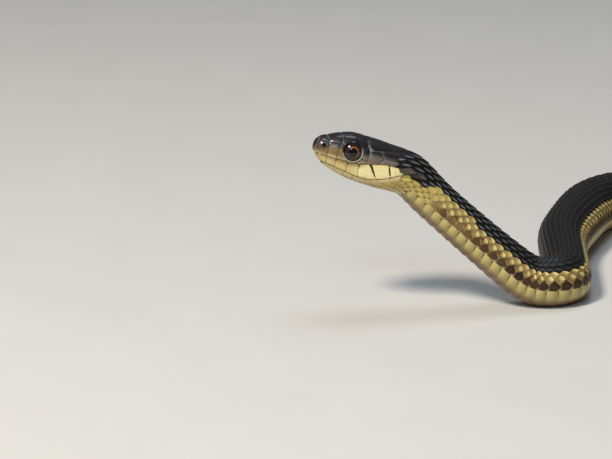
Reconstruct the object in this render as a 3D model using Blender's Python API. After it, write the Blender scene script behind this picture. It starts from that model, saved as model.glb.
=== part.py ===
"""Common garter snake, life size: head and neck raised, the rest of the body lying in loose bends.

One spine curve carries everything. A place on the body is s, the distance in millimetres from the
snout along the spine, and phi, the angle round the body in degrees from the middle of the back, positive
on the snake's left. The head, the jaw and each length of the body are cut from the same skin surface.
"""

import math

import bmesh
import bpy
import numpy as np
from mathutils import Matrix, Vector

MM = 0.001

# Lengths along the spine, mm
HEAD_END = 19.8
VENT_AT = 350.0
BODY_END = 455.0
SPINE_STEP = 0.25

# Belly scutes before the vent and under the tail
VENTRALS = 146
SUBCAUDALS = 70
SCUTE_RISE = 0.22
SCUTE_DROP_LENGTH = 0.12

# Gap between neighbouring nodes, and how far the spine of a resting length is above the floor
GAP = 0.3
REST_SHARE = 0.91

# Spine directions in degrees: the value at the snout, then (from s, to s, change) bends.
# Yaw 0 runs the body along +X and 90 along +Y. Pitch is how steeply the body comes down from the head.
YAW = (8.0, ((10, 20, -8), (50, 64.4, 89), (74, 100, -15), (103, 160, -142), (168, 232, 138),
             (238, 320, -176), (328, 378, 92), (384, 452, -78)))
PITCH = (16.5, ((15.5, 22, 26), (45, 57.2, -42.5)))
# Roll leans the back away from the snake's left side
ROLL = (0.0, ((12, 26, 24), (40, 60, 4), (90, 140, -28)))

# Half thickness of the body, mm
RADIUS = ((0, 4.1), (22, 4.15), (28, 4.05), (37, 4.15), (43, 4.3), (50, 4.6), (54, 4.85), (62, 5.0),
          (80, 5.3), (110, 5.7), (160, 6.0), (230, 5.9), (290, 5.2), (330, 4.2), (350, 3.65), (400, 2.2),
          (440, 1.0), (450, 0.7), (455, 0.25))
BELLY_SHARE = 0.95
# The body is a little narrower than deep where it bends sharply, and its scutes are closer there
WIDTH_SHARE = ((0, 1.0), (44, 1.0), (56, 0.86), (78, 0.86), (104, 1.0), (455, 1.0))
CROWDED = 0.5
CROWD_START, CROWD_END = (45.0, 53.0), (76.0, 66.0)

# Head sections, mm from the spine: height of the crown, depth of the chin, half width and the level
# of the widest line. Past the last station they join the neck's own half thickness.
JOIN = (21.0, 26.0)
CROWN = ((-0.4, 2.7), (0, 2.85), (0.8, 3.15), (1.9, 3.6), (4.0, 4.45), (5.3, 4.85), (6.9, 5.15), (9.3, 5.1),
         (12, 4.95), (15, 4.7), (18, 4.65), (20, 4.5), (22, 4.3), (26, 4.1))
CHIN = ((-0.4, 0.0), (0, 0.12), (0.7, 0.68), (1.4, 1.3), (2.2, 1.9), (3.0, 2.25), (4.8, 2.8), (7.6, 3.4),
        (11, 3.65), (14, 3.75), (17, 3.75), (20, 3.75), (26, 3.85))
HALF_WIDTH = ((-0.4, 1.6), (1.5, 2.2), (3, 2.9), (5, 3.5), (7.7, 4.15), (10, 4.55), (13, 5.0), (15.5, 5.2),
              (17.5, 5.05), (19.5, 4.7), (22, 4.3), (26, 4.1))
WIDEST_LEVEL = ((-0.4, 1.0), (0, 0.9), (1, 0.4), (2.5, -0.4), (5, -1.1), (8, -1.4), (12, -1.2), (15, -0.6),
                (18, -0.1), (22, 0.0))
# How square a section is: 2 is round
SQUARE_ABOVE = ((0, 2.2), (2, 2.6), (6, 2.9), (10, 2.7), (15, 2.4), (20, 2.1), (24, 2.0))
SQUARE_BELOW = ((0, 2.0), (5, 2.2), (12, 2.3), (18, 2.2), (24, 2.25))
SNOUT_TIP = -0.2
SNOUT_ROUND = 1.6
SNOUT_BLUNT = 3.0

# Mouth line, height above the spine, mm
MOUTH_CORNER = 17.8
LIP = ((-1, -1.2), (1.4, -1.28), (2.6, -1.32), (4.2, -1.48), (6.5, -1.75), (9.0, -2.05), (11.0, -1.95),
       (12.6, -1.5), (15.3, -0.57), (17.8, 0.2))
JAW_WIDTH_SHARE = 0.95
JAW_SETBACK = 0.25

# Eye and nostril, mm
EYE_S, EYE_UP = 6.8, 2.2
EYE_RADIUS = 1.85
EYE_DEPTH = 1.15
NOSTRIL_S, NOSTRIL_UP = 1.45, 1.85
NOSTRIL_RADIUS = 0.42
OCULAR_RING_RADIUS = 2.1
OCULAR_RING_TUBE = 0.3

# Head plates, mm. An upper lip shield leans back towards the crown's front, so its top edge is further on
PLATE_RISE = 0.17
PLATE_ROOT = 0.5
SUTURE = 0.14
LABIAL_EDGES = (1.4, 2.6, 4.2, 6.45, 9.0, 12.5, 15.3, 17.7)
LABIAL_TOP_EDGES = (1.0, 2.5, 4.2, 6.45, 8.5, 10.65, 14.4, 16.7)
LABIAL_TOP = ((0.9, 0.1), (4.2, 0.1), (5.0, -0.1), (8.0, -0.1), (8.6, 0.3), (10.6, 0.85), (14.4, 1.65),
              (16.7, 1.4), (17.8, 1.3))
LOWER_LABIAL_EDGES = (2.2, 3.3, 4.7, 6.2, 8.0, 10.4, 12.9, 15.3, 17.4)
LOWER_LABIAL_DEPTH = 0.95

# The rostral caps the snout: how far back its edge is at this many degrees from the top
ROSTRAL_EDGE = ((0, 0.8), (50, 0.7), (90, 0.6), (130, 0.95), (180, 1.8))

# Crown plates seen from above: rows of (s, side at the inner edge, side at the outer edge)
INTERNASAL = ((0.95, 0.07, 0.9), (1.9, 0.07, 1.85))
PREFRONTAL = ((2.05, 0.07, 1.95), (3.2, 0.07, 2.45), (4.4, 0.07, 2.75))
FRONTAL = ((4.6, -1.4, 1.4), (6.4, -1.25, 1.25), (8.2, -1.1, 1.1), (9.4, -0.6, 0.6), (9.9, -0.1, 0.1))
SUPRAOCULAR = ((4.7, 1.6, 2.9), (6.2, 1.45, 3.15), (7.6, 1.3, 3.3), (9.35, 1.2, 3.15))
PARIETAL = ((9.6, 0.75, 3.15), (10.7, 0.08, 3.65), (13.0, 0.08, 3.4), (15.2, 0.08, 2.7), (17.4, 0.08, 1.3))
BROW_RISE = 0.3

# Flank plates seen from the side: rows of (s, lower height, upper height)
NASAL = ((0.75, 0.35, 1.9), (1.5, 0.3, 2.4), (2.25, 0.3, 2.65))
LOREAL = ((2.4, 0.3, 2.7), (3.9, 0.3, 3.0))
PREOCULAR = ((4.05, 0.8, 3.1), (4.75, 1.0, 3.3))
POSTOCULARS = (((8.85, 0.6, 1.3), (9.7, 0.8, 1.3)), ((8.95, 1.45, 2.2), (9.75, 1.45, 2.2)),
               ((8.85, 2.35, 3.3), (9.65, 2.35, 3.2)))
FRONT_TEMPORAL = ((9.9, 0.85, 2.9), (12.4, 1.4, 3.2))
UPPER_TEMPORAL = ((12.6, 2.65, 3.35), (15.6, 2.6, 3.6))
LOWER_TEMPORAL = ((12.6, 1.5, 2.5), (15.6, 1.75, 2.45))

# Chin plates seen from below: rows of (s, degrees from the middle at the inner and the outer edge)
MENTAL = ((1.75, -12, 12), (2.3, -22, 22), (2.9, -3, 3))
FRONT_CHIN_SHIELD = ((3.2, 1.5, 14), (4.6, 1.5, 24), (7.0, 1.5, 20))
REAR_CHIN_SHIELD = ((7.2, 2.5, 17), (9.2, 2.0, 24), (12.0, 9.0, 20))

# Angles of the skin's lengthwise edges: those of the back, then those of the belly scutes
BODY_ANGLES = ((-120, -96, -64, -32, 0, 32, 64, 96, 120), (127, 148, 168, 192, 212, 233))
TAIL_ANGLES = ((-120, -86, -43, 0, 43, 86, 120), (128, 162, 198, 232))
HEAD_ANGLES = tuple(range(0, 360, 12))
HEAD_STATIONS = (-0.19, -0.12, 0.08, 0.5, 1.1, 1.8, 2.6, 3.5, 4.6, 5.7, 6.8, 7.9, 9.0, 10.2, 11.4, 12.6,
                 13.8, 15.0, 16.2, 17.4, 18.6)

# Where the body is parted, as counts of scutes from the head, and the names of its lengths
BODY_PARTS = (("neck", 14), ("body_1", 36), ("body_2", 58), ("body_3", 80), ("body_4", 102),
              ("body_5", 124), ("body_6", 146))
TAIL_PARTS = (("tail_base", 35), ("tail_tip", 70))

COLOURS = {
    "head_plates": ((0.045, 0.045, 0.05), 0.32),
    "jaw_skin": ((0.62, 0.53, 0.25), 0.4),
    "back_skin": ((0.05, 0.045, 0.038), 0.5),
    "eye": ((0.02, 0.014, 0.01), 0.08),
}


def ease(start, end, s):
    """0 before start, 1 after end, with a smooth rise between them."""
    t = np.clip((s - start) / (end - start), 0, 1)
    return t * t * t * (t * (6 * t - 15) + 10)


def turned(course, s):
    """The angle at s, in radians, of a course made of a first value and its bends."""
    first, bends = course
    return np.radians(first + sum(turn * ease(a, b, s) for a, b, turn in bends))


def along(table, s):
    """A smooth curve with no overshoot through the (s, value) pairs of a table."""
    x, y = np.array(table, float).T
    width = np.diff(x)
    slope = np.diff(y) / width
    tangent = np.concatenate([slope[:1], np.zeros(len(x) - 2), slope[-1:]])
    for i in range(1, len(x) - 1):
        if slope[i - 1] * slope[i] > 0:
            before, after = width[i - 1] + 2 * width[i], 2 * width[i - 1] + width[i]
            tangent[i] = (before + after) / (before / slope[i - 1] + after / slope[i])
    s = np.clip(s, x[0], x[-1])
    i = np.clip(np.searchsorted(x, s, side="right") - 1, 0, len(x) - 2)
    t = (s - x[i]) / width[i]
    rise = y[i] + (3 * t**2 - 2 * t**3) * (y[i + 1] - y[i])
    return rise + width[i] * ((t**3 - 2 * t**2 + t) * tangent[i] + (t**3 - t**2) * tangent[i + 1])


def make_spine():
    """Stations along the spine with their points and their tailward, upward and leftward directions."""
    s = np.arange(0, BODY_END + SPINE_STEP, SPINE_STEP)
    yaw, pitch, roll = (turned(course, s) for course in (YAW, PITCH, ROLL))
    lift = np.cumsum(np.sin(pitch)[::-1])[::-1] * SPINE_STEP
    height = REST_SHARE * along(RADIUS, s) + lift
    level = np.sqrt(1 - np.gradient(height, SPINE_STEP) ** 2)
    points = np.stack([level * np.cos(yaw), level * np.sin(yaw)], 1)
    points = np.cumsum(points, axis=0) * SPINE_STEP
    points = np.column_stack([points, height])
    tail = np.gradient(points, axis=0)
    tail /= np.linalg.norm(tail, axis=1)[:, None]
    up = np.array([0, 0, 1.0]) - tail * tail[:, 2:]
    up /= np.linalg.norm(up, axis=1)[:, None]
    left = np.cross(tail, up)
    up = up * np.cos(roll)[:, None] - left * np.sin(roll)[:, None]
    return s, points, tail, up, np.cross(tail, up)


SPINE = make_spine()


def spine_at(s):
    """The spine's point and its three directions at s, straight on past the snout."""
    stations, *columns = SPINE
    point, tail, up, left = (
        np.stack([np.interp(s, stations, column[:, k]) for k in range(3)], -1) for column in columns
    )
    beyond = np.minimum(s, 0)
    return point + tail * beyond[..., None], tail, up, left


def section(s):
    """Crown, chin, half width, widest level and the squareness above and below, at s."""
    body = along(RADIUS, s)
    neck = ease(*JOIN, s)
    crown = along(CROWN, s) * (1 - neck) + body * neck
    chin = along(CHIN, s) * (1 - neck) + BELLY_SHARE * body * neck
    width = along(HALF_WIDTH, s) * (1 - neck) + body * along(WIDTH_SHARE, s) * neck
    middle = along(WIDEST_LEVEL, s)
    snout = np.clip(1 - (s - SNOUT_TIP) / SNOUT_ROUND, 0, 1)
    close = (1 - snout**SNOUT_BLUNT) ** (1 / SNOUT_BLUNT)
    above, below = (crown - middle) * close, (chin + middle) * close
    return above, below, width * close, middle, along(SQUARE_ABOVE, s), along(SQUARE_BELOW, s)


def on_skin(s, phi):
    """Points of the bare skin, mm. s and phi are arrays of one shape."""
    above, below, width, middle, square_above, square_below = section(s)
    angle = np.radians(phi)
    sine, cosine = np.sin(angle), np.cos(angle)
    square = np.where(cosine > 0, square_above, square_below)
    reach = np.where(cosine > 0, above, below)
    side = width * np.sign(sine) * np.abs(sine) ** (2 / square)
    height = middle + reach * np.sign(cosine) * np.abs(cosine) ** (2 / square)
    point, _, up, left = spine_at(s)
    return point + up * height[..., None] + left * side[..., None]


def skin(s, phi, lift=0.0):
    """Points at a height of lift over the skin, never below the floor."""
    s, phi = np.broadcast_arrays(np.asarray(s, float), np.asarray(phi, float))
    small_s, small_phi = np.minimum(0.02, 0.4 * (s - SNOUT_TIP)), 0.5
    ahead = on_skin(s + small_s, phi) - on_skin(s - small_s, phi)
    round_it = on_skin(s, phi + small_phi) - on_skin(s, phi - small_phi)
    normal = np.cross(round_it, ahead)
    normal /= np.maximum(np.linalg.norm(normal, axis=-1, keepdims=True), 1e-12)
    middle = spine_at(s)[0] + spine_at(s)[2] * along(WIDEST_LEVEL, s)[..., None]
    outward = on_skin(s, phi) - middle
    normal *= np.where((normal * outward).sum(-1, keepdims=True) < 0, -1, 1)
    points = on_skin(s, phi) + normal * np.asarray(lift)[..., None]
    points[..., 2] = np.maximum(points[..., 2], 0)
    return points


def angle_from_side(s, side):
    """phi of the skin point of the upper half that lies this far to the side of the spine."""
    _, _, width, _, square, _ = section(s)
    share = np.clip(np.abs(side) / width, 0, 1)
    return np.sign(side) * np.degrees(np.arcsin(share ** (square / 2)))


def angle_from_height(s, height):
    """phi of the left skin point at this height above the spine."""
    above, below, _, middle, square_above, square_below = section(s)
    over = np.clip((height - middle) / above, 0, 1) ** (square_above / 2)
    under = np.clip((middle - height) / below, 0, 1) ** (square_below / 2)
    return np.where(height >= middle, np.degrees(np.arccos(over)), 180 - np.degrees(np.arccos(under)))


def add_object(name, points, faces):
    """A mesh object from points in millimetres, its faces turned outwards."""
    mesh = bpy.data.meshes.new(name)
    mesh.from_pydata([Vector(p) * MM for p in points], [], faces)
    form = bmesh.new()
    form.from_mesh(mesh)
    bmesh.ops.recalc_face_normals(form, faces=form.faces)
    form.to_mesh(mesh)
    form.free()
    obj = bpy.data.objects.new(name, mesh)
    bpy.context.scene.collection.objects.link(obj)
    return obj


def largest_surface(mesh):
    """Keeps only the closed surface of this mesh that holds the most."""
    form = bmesh.new()
    form.from_mesh(mesh)
    left, shells = set(form.verts), []
    while left:
        shell, edge = set(), [left.pop()]
        while edge:
            vert = edge.pop()
            shell.add(vert)
            found = {e.other_vert(vert) for e in vert.link_edges} & left
            left -= found
            edge.extend(found)
        shells.append(shell)
    faces = [{f for v in shell for f in v.link_faces} for shell in shells]
    areas = [sum(f.calc_area() for f in group) for group in faces]
    keep = shells[areas.index(max(areas))]
    bmesh.ops.delete(form, geom=[v for v in form.verts if v not in keep], context="VERTS")
    bmesh.ops.triangulate(form, faces=form.faces)
    form.to_mesh(mesh)
    form.free()


def combine(obj, pieces, operation):
    """One Boolean of obj with all the pieces, applied. The pieces are removed."""
    group = bpy.data.collections.new("pieces")
    for piece in pieces:
        group.objects.link(piece)
    modifier = obj.modifiers.new(operation.lower(), "BOOLEAN")
    modifier.operand_type = "COLLECTION"
    modifier.collection = group
    modifier.operation = operation
    modifier.solver = "EXACT"
    bpy.context.view_layer.update()
    solid = bpy.data.meshes.new_from_object(obj.evaluated_get(bpy.context.evaluated_depsgraph_get()))
    obj.modifiers.clear()
    old, obj.data = obj.data, solid
    bpy.data.meshes.remove(old)
    for piece in pieces:
        bpy.data.objects.remove(piece)
    bpy.data.collections.remove(group)
    largest_surface(solid)


def strips(rings):
    """Quads between neighbouring closed rings of point numbers."""
    faces = []
    for a, b in zip(rings, rings[1:]):
        n = len(a)
        faces += [(a[i], a[(i + 1) % n], b[(i + 1) % n], b[i]) for i in range(n)]
    return faces


def fan(ring, centre):
    """Triangles from a closed ring of point numbers to one point."""
    return [(ring[i], ring[(i + 1) % len(ring)], centre) for i in range(len(ring))]


def head_form(name, end, width_share=1.0, setback=0.0):
    """The whole head as a closed form up to s = end, narrower and set back for the jaw."""
    stations = [s for s in HEAD_STATIONS if s < end - 0.3] + [end]
    points, rings = [], []
    for s in stations:
        shifted = s + setback * (1 - s / end)
        ring = skin(np.full(len(HEAD_ANGLES), s), np.array(HEAD_ANGLES))
        _, tail, _, left = spine_at(np.array(s))
        across = (ring - spine_at(np.array(s))[0]) @ left
        ring = ring - np.outer(across * (1 - width_share), left) + tail * (shifted - s)
        rings.append(range(len(points), len(points) + len(ring)))
        points.extend(ring)
    tip = spine_at(np.array(SNOUT_TIP + setback))[0] + spine_at(np.array(0.0))[2] * WIDEST_LEVEL[0][1]
    back = np.mean([points[i] for i in rings[-1]], axis=0)
    faces = strips(rings) + fan(rings[0], len(points)) + fan(rings[-1], len(points) + 1)
    return add_object(name, [*points, tip, back], faces)


def mouth_region(shift):
    """Everything below the mouth line, moved down by shift and back to the corner of the mouth."""
    deep, wide = 8.0, 9.0
    end = MOUTH_CORNER - shift
    stations = [-1.5, *np.linspace(0.0, end, 17)]
    points = []
    for s in stations:
        point, _, up, left = spine_at(np.array(s))
        lip = along(LIP, s) - shift
        for side, height in ((-wide, lip), (wide, lip), (wide, -deep), (-wide, -deep)):
            points.append(point + left * side + up * height)
    rings = [range(4 * i, 4 * i + 4) for i in range(len(stations))]
    faces = strips(rings) + [tuple(rings[0]), tuple(rings[-1])]
    return add_object("mouth_region", points, faces)


def closed_patch(name, upper, lower):
    """A solid between two grids of points, with a rim round their edges."""
    count, width = upper.shape[:2]
    points = [*upper.reshape(-1, 3), *lower.reshape(-1, 3)]
    under = count * width
    faces = []
    for i in range(count - 1):
        for j in range(width - 1):
            a, b = i * width + j, (i + 1) * width + j
            faces.append((a, a + 1, b + 1, b))
            faces.append((under + a, under + b, under + b + 1, under + a + 1))
    rim = list(range(width))
    rim += [i * width + width - 1 for i in range(1, count)]
    rim += [(count - 1) * width + j for j in range(width - 2, -1, -1)]
    rim += [i * width for i in range(count - 2, 0, -1)]
    faces += [(a, b, under + b, under + a) for a, b in zip(rim, rim[1:] + rim[:1])]
    return add_object(name, points, faces)


def plate(rows, to_angle, columns=3, rise=PLATE_RISE, root=PLATE_ROOT, mirror=1):
    """A raised head plate. A row holds s and two places across it, which to_angle turns into phi.

    A fourth number in a row is the s of its second place, where the row runs slantwise.
    """
    rows = np.array(rows, float)
    share = np.linspace(0, 1, columns + 1)
    first, second = rows[:, :1], rows[:, -1:] if rows.shape[1] == 4 else rows[:, :1]
    s = first + (second - first) * share
    place = rows[:, 1:2] + (rows[:, 2:3] - rows[:, 1:2]) * share
    phi = mirror * to_angle(s, place)
    return closed_patch("plate", skin(s, phi, rise), skin(s, phi, -root))


def rostral():
    """The shield that caps the tip of the snout."""
    turn = np.array(HEAD_ANGLES)
    edge = along(ROSTRAL_EDGE, np.abs((turn + 180) % 360 - 180))
    rows = [(share, PLATE_RISE) for share in (0.01, 0.08, 0.3, 0.6, 1.0)]
    rows += [(share, -PLATE_ROOT) for share in (1.0, 0.5)]
    points = []
    for share, lift in rows:
        points.extend(skin(SNOUT_TIP + share * (edge - SNOUT_TIP), turn, lift))
    rings = [range(i * len(turn), (i + 1) * len(turn)) for i in range(len(rows))]
    faces = strips(rings) + fan(rings[0], len(points)) + fan(rings[-1], len(points) + 1)
    centres = [np.mean([points[k] for k in ring], axis=0) for ring in (rings[0], rings[-1])]
    return add_object("rostral", [*points, *centres], faces)


def split_rows(rows, parts=2):
    """The same plate outline with more rows between the given ones."""
    rows = np.array(rows, float)
    t = np.linspace(0, len(rows) - 1, (len(rows) - 1) * parts + 1)
    return np.stack([np.interp(t, range(len(rows)), rows[:, k]) for k in range(3)], 1)


def crown_plates():
    """The rostral, the paired shields of the crown and the single frontal."""
    made = [rostral(), plate(FRONTAL, angle_from_side, columns=4)]
    for mirror in (1, -1):
        for rows in (INTERNASAL, PREFRONTAL, PARIETAL):
            made.append(plate(split_rows(rows), angle_from_side, mirror=mirror))
        made.append(plate(split_rows(SUPRAOCULAR), angle_from_side, rise=BROW_RISE, mirror=mirror))
    return made


def lip_shields(edges, far_edges, near, far):
    """Rows for the shields along a lip, between the curves near and far that give their heights."""
    shields = []
    for (a, b), (c, d) in zip(zip(edges, edges[1:]), zip(far_edges, far_edges[1:])):
        s = np.array([a + SUTURE / 2, (a + b) / 2, b - SUTURE / 2])
        t = np.array([c + SUTURE / 2, (c + d) / 2, d - SUTURE / 2])
        shields.append(np.stack([s, near(s), far(t), t], 1))
    return shields


def flank_plates():
    """Nasal, loreal, ocular, temporal and upper lip shields of both sides."""
    shields = [split_rows(rows) for rows in (NASAL, LOREAL, FRONT_TEMPORAL, UPPER_TEMPORAL, LOWER_TEMPORAL)]
    shields += [PREOCULAR, *POSTOCULARS]
    shields += lip_shields(
        LABIAL_EDGES,
        LABIAL_TOP_EDGES,
        lambda s: along(LIP, s) + SUTURE,
        lambda s: along(LABIAL_TOP, s) - SUTURE / 2,
    )
    return [plate(r, angle_from_height, columns=2, mirror=m) for r in shields for m in (1, -1)]


def angle_from_below(s, degrees):
    """phi of a place this many degrees from the middle of the throat."""
    return 180 - degrees


def jaw_plates():
    """The lip shields of the lower jaw, the mental at its tip and the paired chin shields."""
    shields = lip_shields(
        LOWER_LABIAL_EDGES,
        LOWER_LABIAL_EDGES,
        lambda s: along(LIP, s) - GAP - SUTURE,
        lambda s: along(LIP, s) - GAP - SUTURE - LOWER_LABIAL_DEPTH,
    )
    made = [plate(r, angle_from_height, columns=2, root=0.7, mirror=m) for r in shields for m in (1, -1)]
    made.append(plate(MENTAL, angle_from_below, columns=2))
    for rows in (FRONT_CHIN_SHIELD, REAR_CHIN_SHIELD):
        made += [plate(split_rows(rows), angle_from_below, columns=2, mirror=m) for m in (1, -1)]
    return made


def ocular_ring(mirror):
    """The low rim of small scales round an eye, as a closed ring of six sides."""
    count, sides = 22, 6
    turn = np.linspace(0, 2 * math.pi, count, endpoint=False)
    s = EYE_S + OCULAR_RING_RADIUS * np.cos(turn)
    up = EYE_UP + OCULAR_RING_RADIUS * np.sin(turn)
    phi = mirror * angle_from_height(s, up)
    centre = skin(s, phi, -0.1)
    out = skin(s, phi, 0.9) - centre
    out /= np.linalg.norm(out, axis=1)[:, None]
    along_ring = np.roll(centre, -1, axis=0) - np.roll(centre, 1, axis=0)
    flat = np.cross(out, along_ring)
    flat /= np.linalg.norm(flat, axis=1)[:, None]
    points, faces = [], []
    for i in range(count):
        for k in range(sides):
            angle = 2 * math.pi * k / sides
            offset = out[i] * math.cos(angle) + flat[i] * math.sin(angle)
            points.append(centre[i] + OCULAR_RING_TUBE * offset)
            a, b = i * sides + k, ((i + 1) % count) * sides + k
            c, d = ((i + 1) % count) * sides + (k + 1) % sides, i * sides + (k + 1) % sides
            faces.append((a, b, c, d))
    return add_object("ocular_ring", points, faces)


def eye_centre(mirror):
    """The middle of an eyeball, inside the skin by the eye's depth."""
    s = np.array(EYE_S)
    phi = mirror * angle_from_height(s, np.array(EYE_UP))
    return skin(s, phi) - mirror * EYE_DEPTH * spine_at(s)[3]


def ball(name, centre, radius, segments=18):
    """A round ball as its own object."""
    form = bmesh.new()
    place = Matrix.Translation(Vector(centre) * MM)
    bmesh.ops.create_uvsphere(
        form, u_segments=segments, v_segments=segments // 2, radius=radius * MM, matrix=place
    )
    mesh = bpy.data.meshes.new(name)
    form.to_mesh(mesh)
    form.free()
    obj = bpy.data.objects.new(name, mesh)
    bpy.context.scene.collection.objects.link(obj)
    return obj


def make_head():
    """Skull with its shields, eye sockets and nostrils, and the lower jaw under the mouth line."""
    head = head_form("head", HEAD_END - GAP / 2)
    rings = [ocular_ring(mirror) for mirror in (1, -1)]
    combine(head, crown_plates() + flank_plates() + rings, "UNION")
    sockets = [ball("socket", eye_centre(mirror), EYE_RADIUS + GAP) for mirror in (1, -1)]
    nostrils = []
    for mirror in (1, -1):
        s = np.array(NOSTRIL_S)
        phi = mirror * angle_from_height(s, np.array(NOSTRIL_UP))
        nostrils.append(ball("nostril", skin(s, phi, 0.1), NOSTRIL_RADIUS, segments=12))
    combine(head, [mouth_region(0.0), *sockets, *nostrils], "DIFFERENCE")

    jaw = head_form("lower_jaw", HEAD_END - GAP / 2, JAW_WIDTH_SHARE, JAW_SETBACK)
    combine(jaw, jaw_plates(), "UNION")
    combine(jaw, [mouth_region(GAP)], "INTERSECT")

    eyes = [ball(f"eye_{side}", eye_centre(m), EYE_RADIUS) for side, m in (("left", 1), ("right", -1))]
    return head, jaw, *eyes


def scute_edges(start, end, count):
    """Front edges of count scutes and the last rear edge, wider where the body is thicker."""
    s = np.linspace(start, end, 2000)
    crowd = 1 + CROWDED * ease(*CROWD_START, s) * ease(*CROWD_END, s)
    scutes = np.cumsum(along(RADIUS, s) ** -0.35 * crowd)
    scutes = (scutes - scutes[0]) / (scutes[-1] - scutes[0]) * count
    return np.interp(np.arange(count + 1), scutes, s)


def body_length(name, edges, angles):
    """A closed length of the body: a smooth back, and belly scutes that overlap like roof tiles."""
    back, belly = (np.array(group) for group in angles)
    edges = np.array(edges, float)
    edges[0] += GAP / 2
    edges[-1] -= GAP / 2
    points, back_rows, front_rows, rear_rows = [], [], [], []

    def add_row(s, angles, lift):
        row = range(len(points), len(points) + len(angles))
        points.extend(skin(np.full(len(angles), s), angles, lift))
        return list(row)

    last = len(edges) - 1
    for i, s in enumerate(edges):
        back_rows.append(add_row(s, back, 0.0))
        rise = SCUTE_RISE * min(1.0, float(along(RADIUS, s)) / 3)
        if i > 0:
            rear_rows.append(add_row(s, belly, rise))
        if i < last:
            drop = SCUTE_DROP_LENGTH if i else 0.0
            front_rows.append(add_row(s + drop, belly, 0.0))

    faces = []
    for i in range(last):
        a, b, f, r = back_rows[i], back_rows[i + 1], front_rows[i], rear_rows[i]
        faces += [(a[k], a[k + 1], b[k + 1], b[k]) for k in range(len(back) - 1)]
        faces += [(f[k], f[k + 1], r[k + 1], r[k]) for k in range(len(belly) - 1)]
        faces += [(a[-1], f[0], r[0], b[-1]), (f[-1], a[0], b[0], r[-1])]
        if i < last - 1:
            n = front_rows[i + 1]
            faces += [(r[k], r[k + 1], n[k + 1], n[k]) for k in range(len(belly) - 1)]
            faces += [(b[-1], r[0], n[0]), (r[-1], b[0], n[-1])]
    for ring in (back_rows[0] + front_rows[0], back_rows[-1] + rear_rows[-1]):
        faces += fan(ring, len(points))
        points.append(np.mean([points[k] for k in ring], axis=0))
    return add_object(name, points, faces)


def make_body():
    """The neck, the lengths of the body and the two lengths of the tail."""
    made = []
    lengths = (
        (scute_edges(HEAD_END, VENT_AT, VENTRALS), BODY_PARTS, BODY_ANGLES),
        (scute_edges(VENT_AT, BODY_END, SUBCAUDALS), TAIL_PARTS, TAIL_ANGLES),
    )
    for edges, parts, angles in lengths:
        first = 0
        for name, last in parts:
            made.append(body_length(name, edges[first : last + 1], angles))
            first = last
    return made


def paint(obj, slot):
    """The node's own material, in the colour and gloss of its slot."""
    colour, roughness = COLOURS[slot]
    material = bpy.data.materials.new(f"{obj.name}_{slot}")
    material.use_nodes = True
    shader = material.node_tree.nodes["Principled BSDF"]
    shader.inputs["Base Color"].default_value = (*colour, 1)
    shader.inputs["Roughness"].default_value = roughness
    shader.inputs["Metallic"].default_value = 0
    obj.data.materials.clear()
    obj.data.materials.append(material)


def set_on_origin(objects):
    """Hangs every node on one empty, so that the middle of the model's footprint is the origin."""
    corners = np.array([v.co for obj in objects for v in obj.data.vertices])
    middle = (corners.min(axis=0) + corners.max(axis=0)) / 2
    snake = bpy.data.objects.new("snake", None)
    bpy.context.scene.collection.objects.link(snake)
    snake.location = (-middle[0], -middle[1], 0)
    for obj in objects:
        obj.parent = snake


def main():
    for obj in list(bpy.data.objects):
        bpy.data.objects.remove(obj)
    head, jaw, left_eye, right_eye = make_head()
    body = make_body()
    for obj, slot in ((head, "head_plates"), (jaw, "jaw_skin"), (left_eye, "eye"), (right_eye, "eye")):
        paint(obj, slot)
    for obj in body:
        paint(obj, "back_skin")
        obj.data.shade_smooth()
        obj.data.set_sharp_from_angle(angle=math.radians(35))
    for eye in (left_eye, right_eye):
        eye.data.shade_smooth()
    set_on_origin([head, jaw, left_eye, right_eye, *body])
    bpy.context.view_layer.update()


main()
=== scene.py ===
"""Looks of a garter snake: skin, head shields, keeled scales, belly scutes and eyes over its frame."""

import bpy
import numpy as np
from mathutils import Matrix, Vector


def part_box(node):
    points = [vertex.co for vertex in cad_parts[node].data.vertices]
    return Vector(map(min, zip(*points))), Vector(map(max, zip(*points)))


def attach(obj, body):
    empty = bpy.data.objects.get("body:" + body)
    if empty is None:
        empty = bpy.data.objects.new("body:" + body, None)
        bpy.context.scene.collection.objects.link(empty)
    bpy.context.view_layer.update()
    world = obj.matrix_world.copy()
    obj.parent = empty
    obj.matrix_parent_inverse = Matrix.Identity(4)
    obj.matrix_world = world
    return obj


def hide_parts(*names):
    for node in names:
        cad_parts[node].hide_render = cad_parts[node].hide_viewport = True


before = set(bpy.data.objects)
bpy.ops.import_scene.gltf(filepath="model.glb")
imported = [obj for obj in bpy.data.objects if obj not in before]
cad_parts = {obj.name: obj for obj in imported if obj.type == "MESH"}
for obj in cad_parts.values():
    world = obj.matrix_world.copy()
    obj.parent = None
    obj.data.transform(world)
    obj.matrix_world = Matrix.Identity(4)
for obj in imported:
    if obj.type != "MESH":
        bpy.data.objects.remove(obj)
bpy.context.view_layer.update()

# Sizes in millimetres and angles in degrees, the same as the solids are made from
MM = 0.001
HEAD_END = 19.8
VENT_AT = 350.0
BODY_END = 455.0
SPINE_STEP = 0.25
VENTRALS = 146
SUBCAUDALS = 70
REST_SHARE = 0.91
# The first angle of the spine, then the start, the end and the turn of each of its bends
YAW = (8.0, ((10, 20, -8), (50, 64.4, 89), (74, 100, -15), (103, 160, -142), (168, 232, 138),
             (238, 320, -176), (328, 378, 92), (384, 452, -78)))
PITCH = (16.5, ((15.5, 22, 26), (45, 57.2, -42.5)))
ROLL = (0.0, ((12, 26, 24), (40, 60, 4), (90, 140, -28)))
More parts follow.
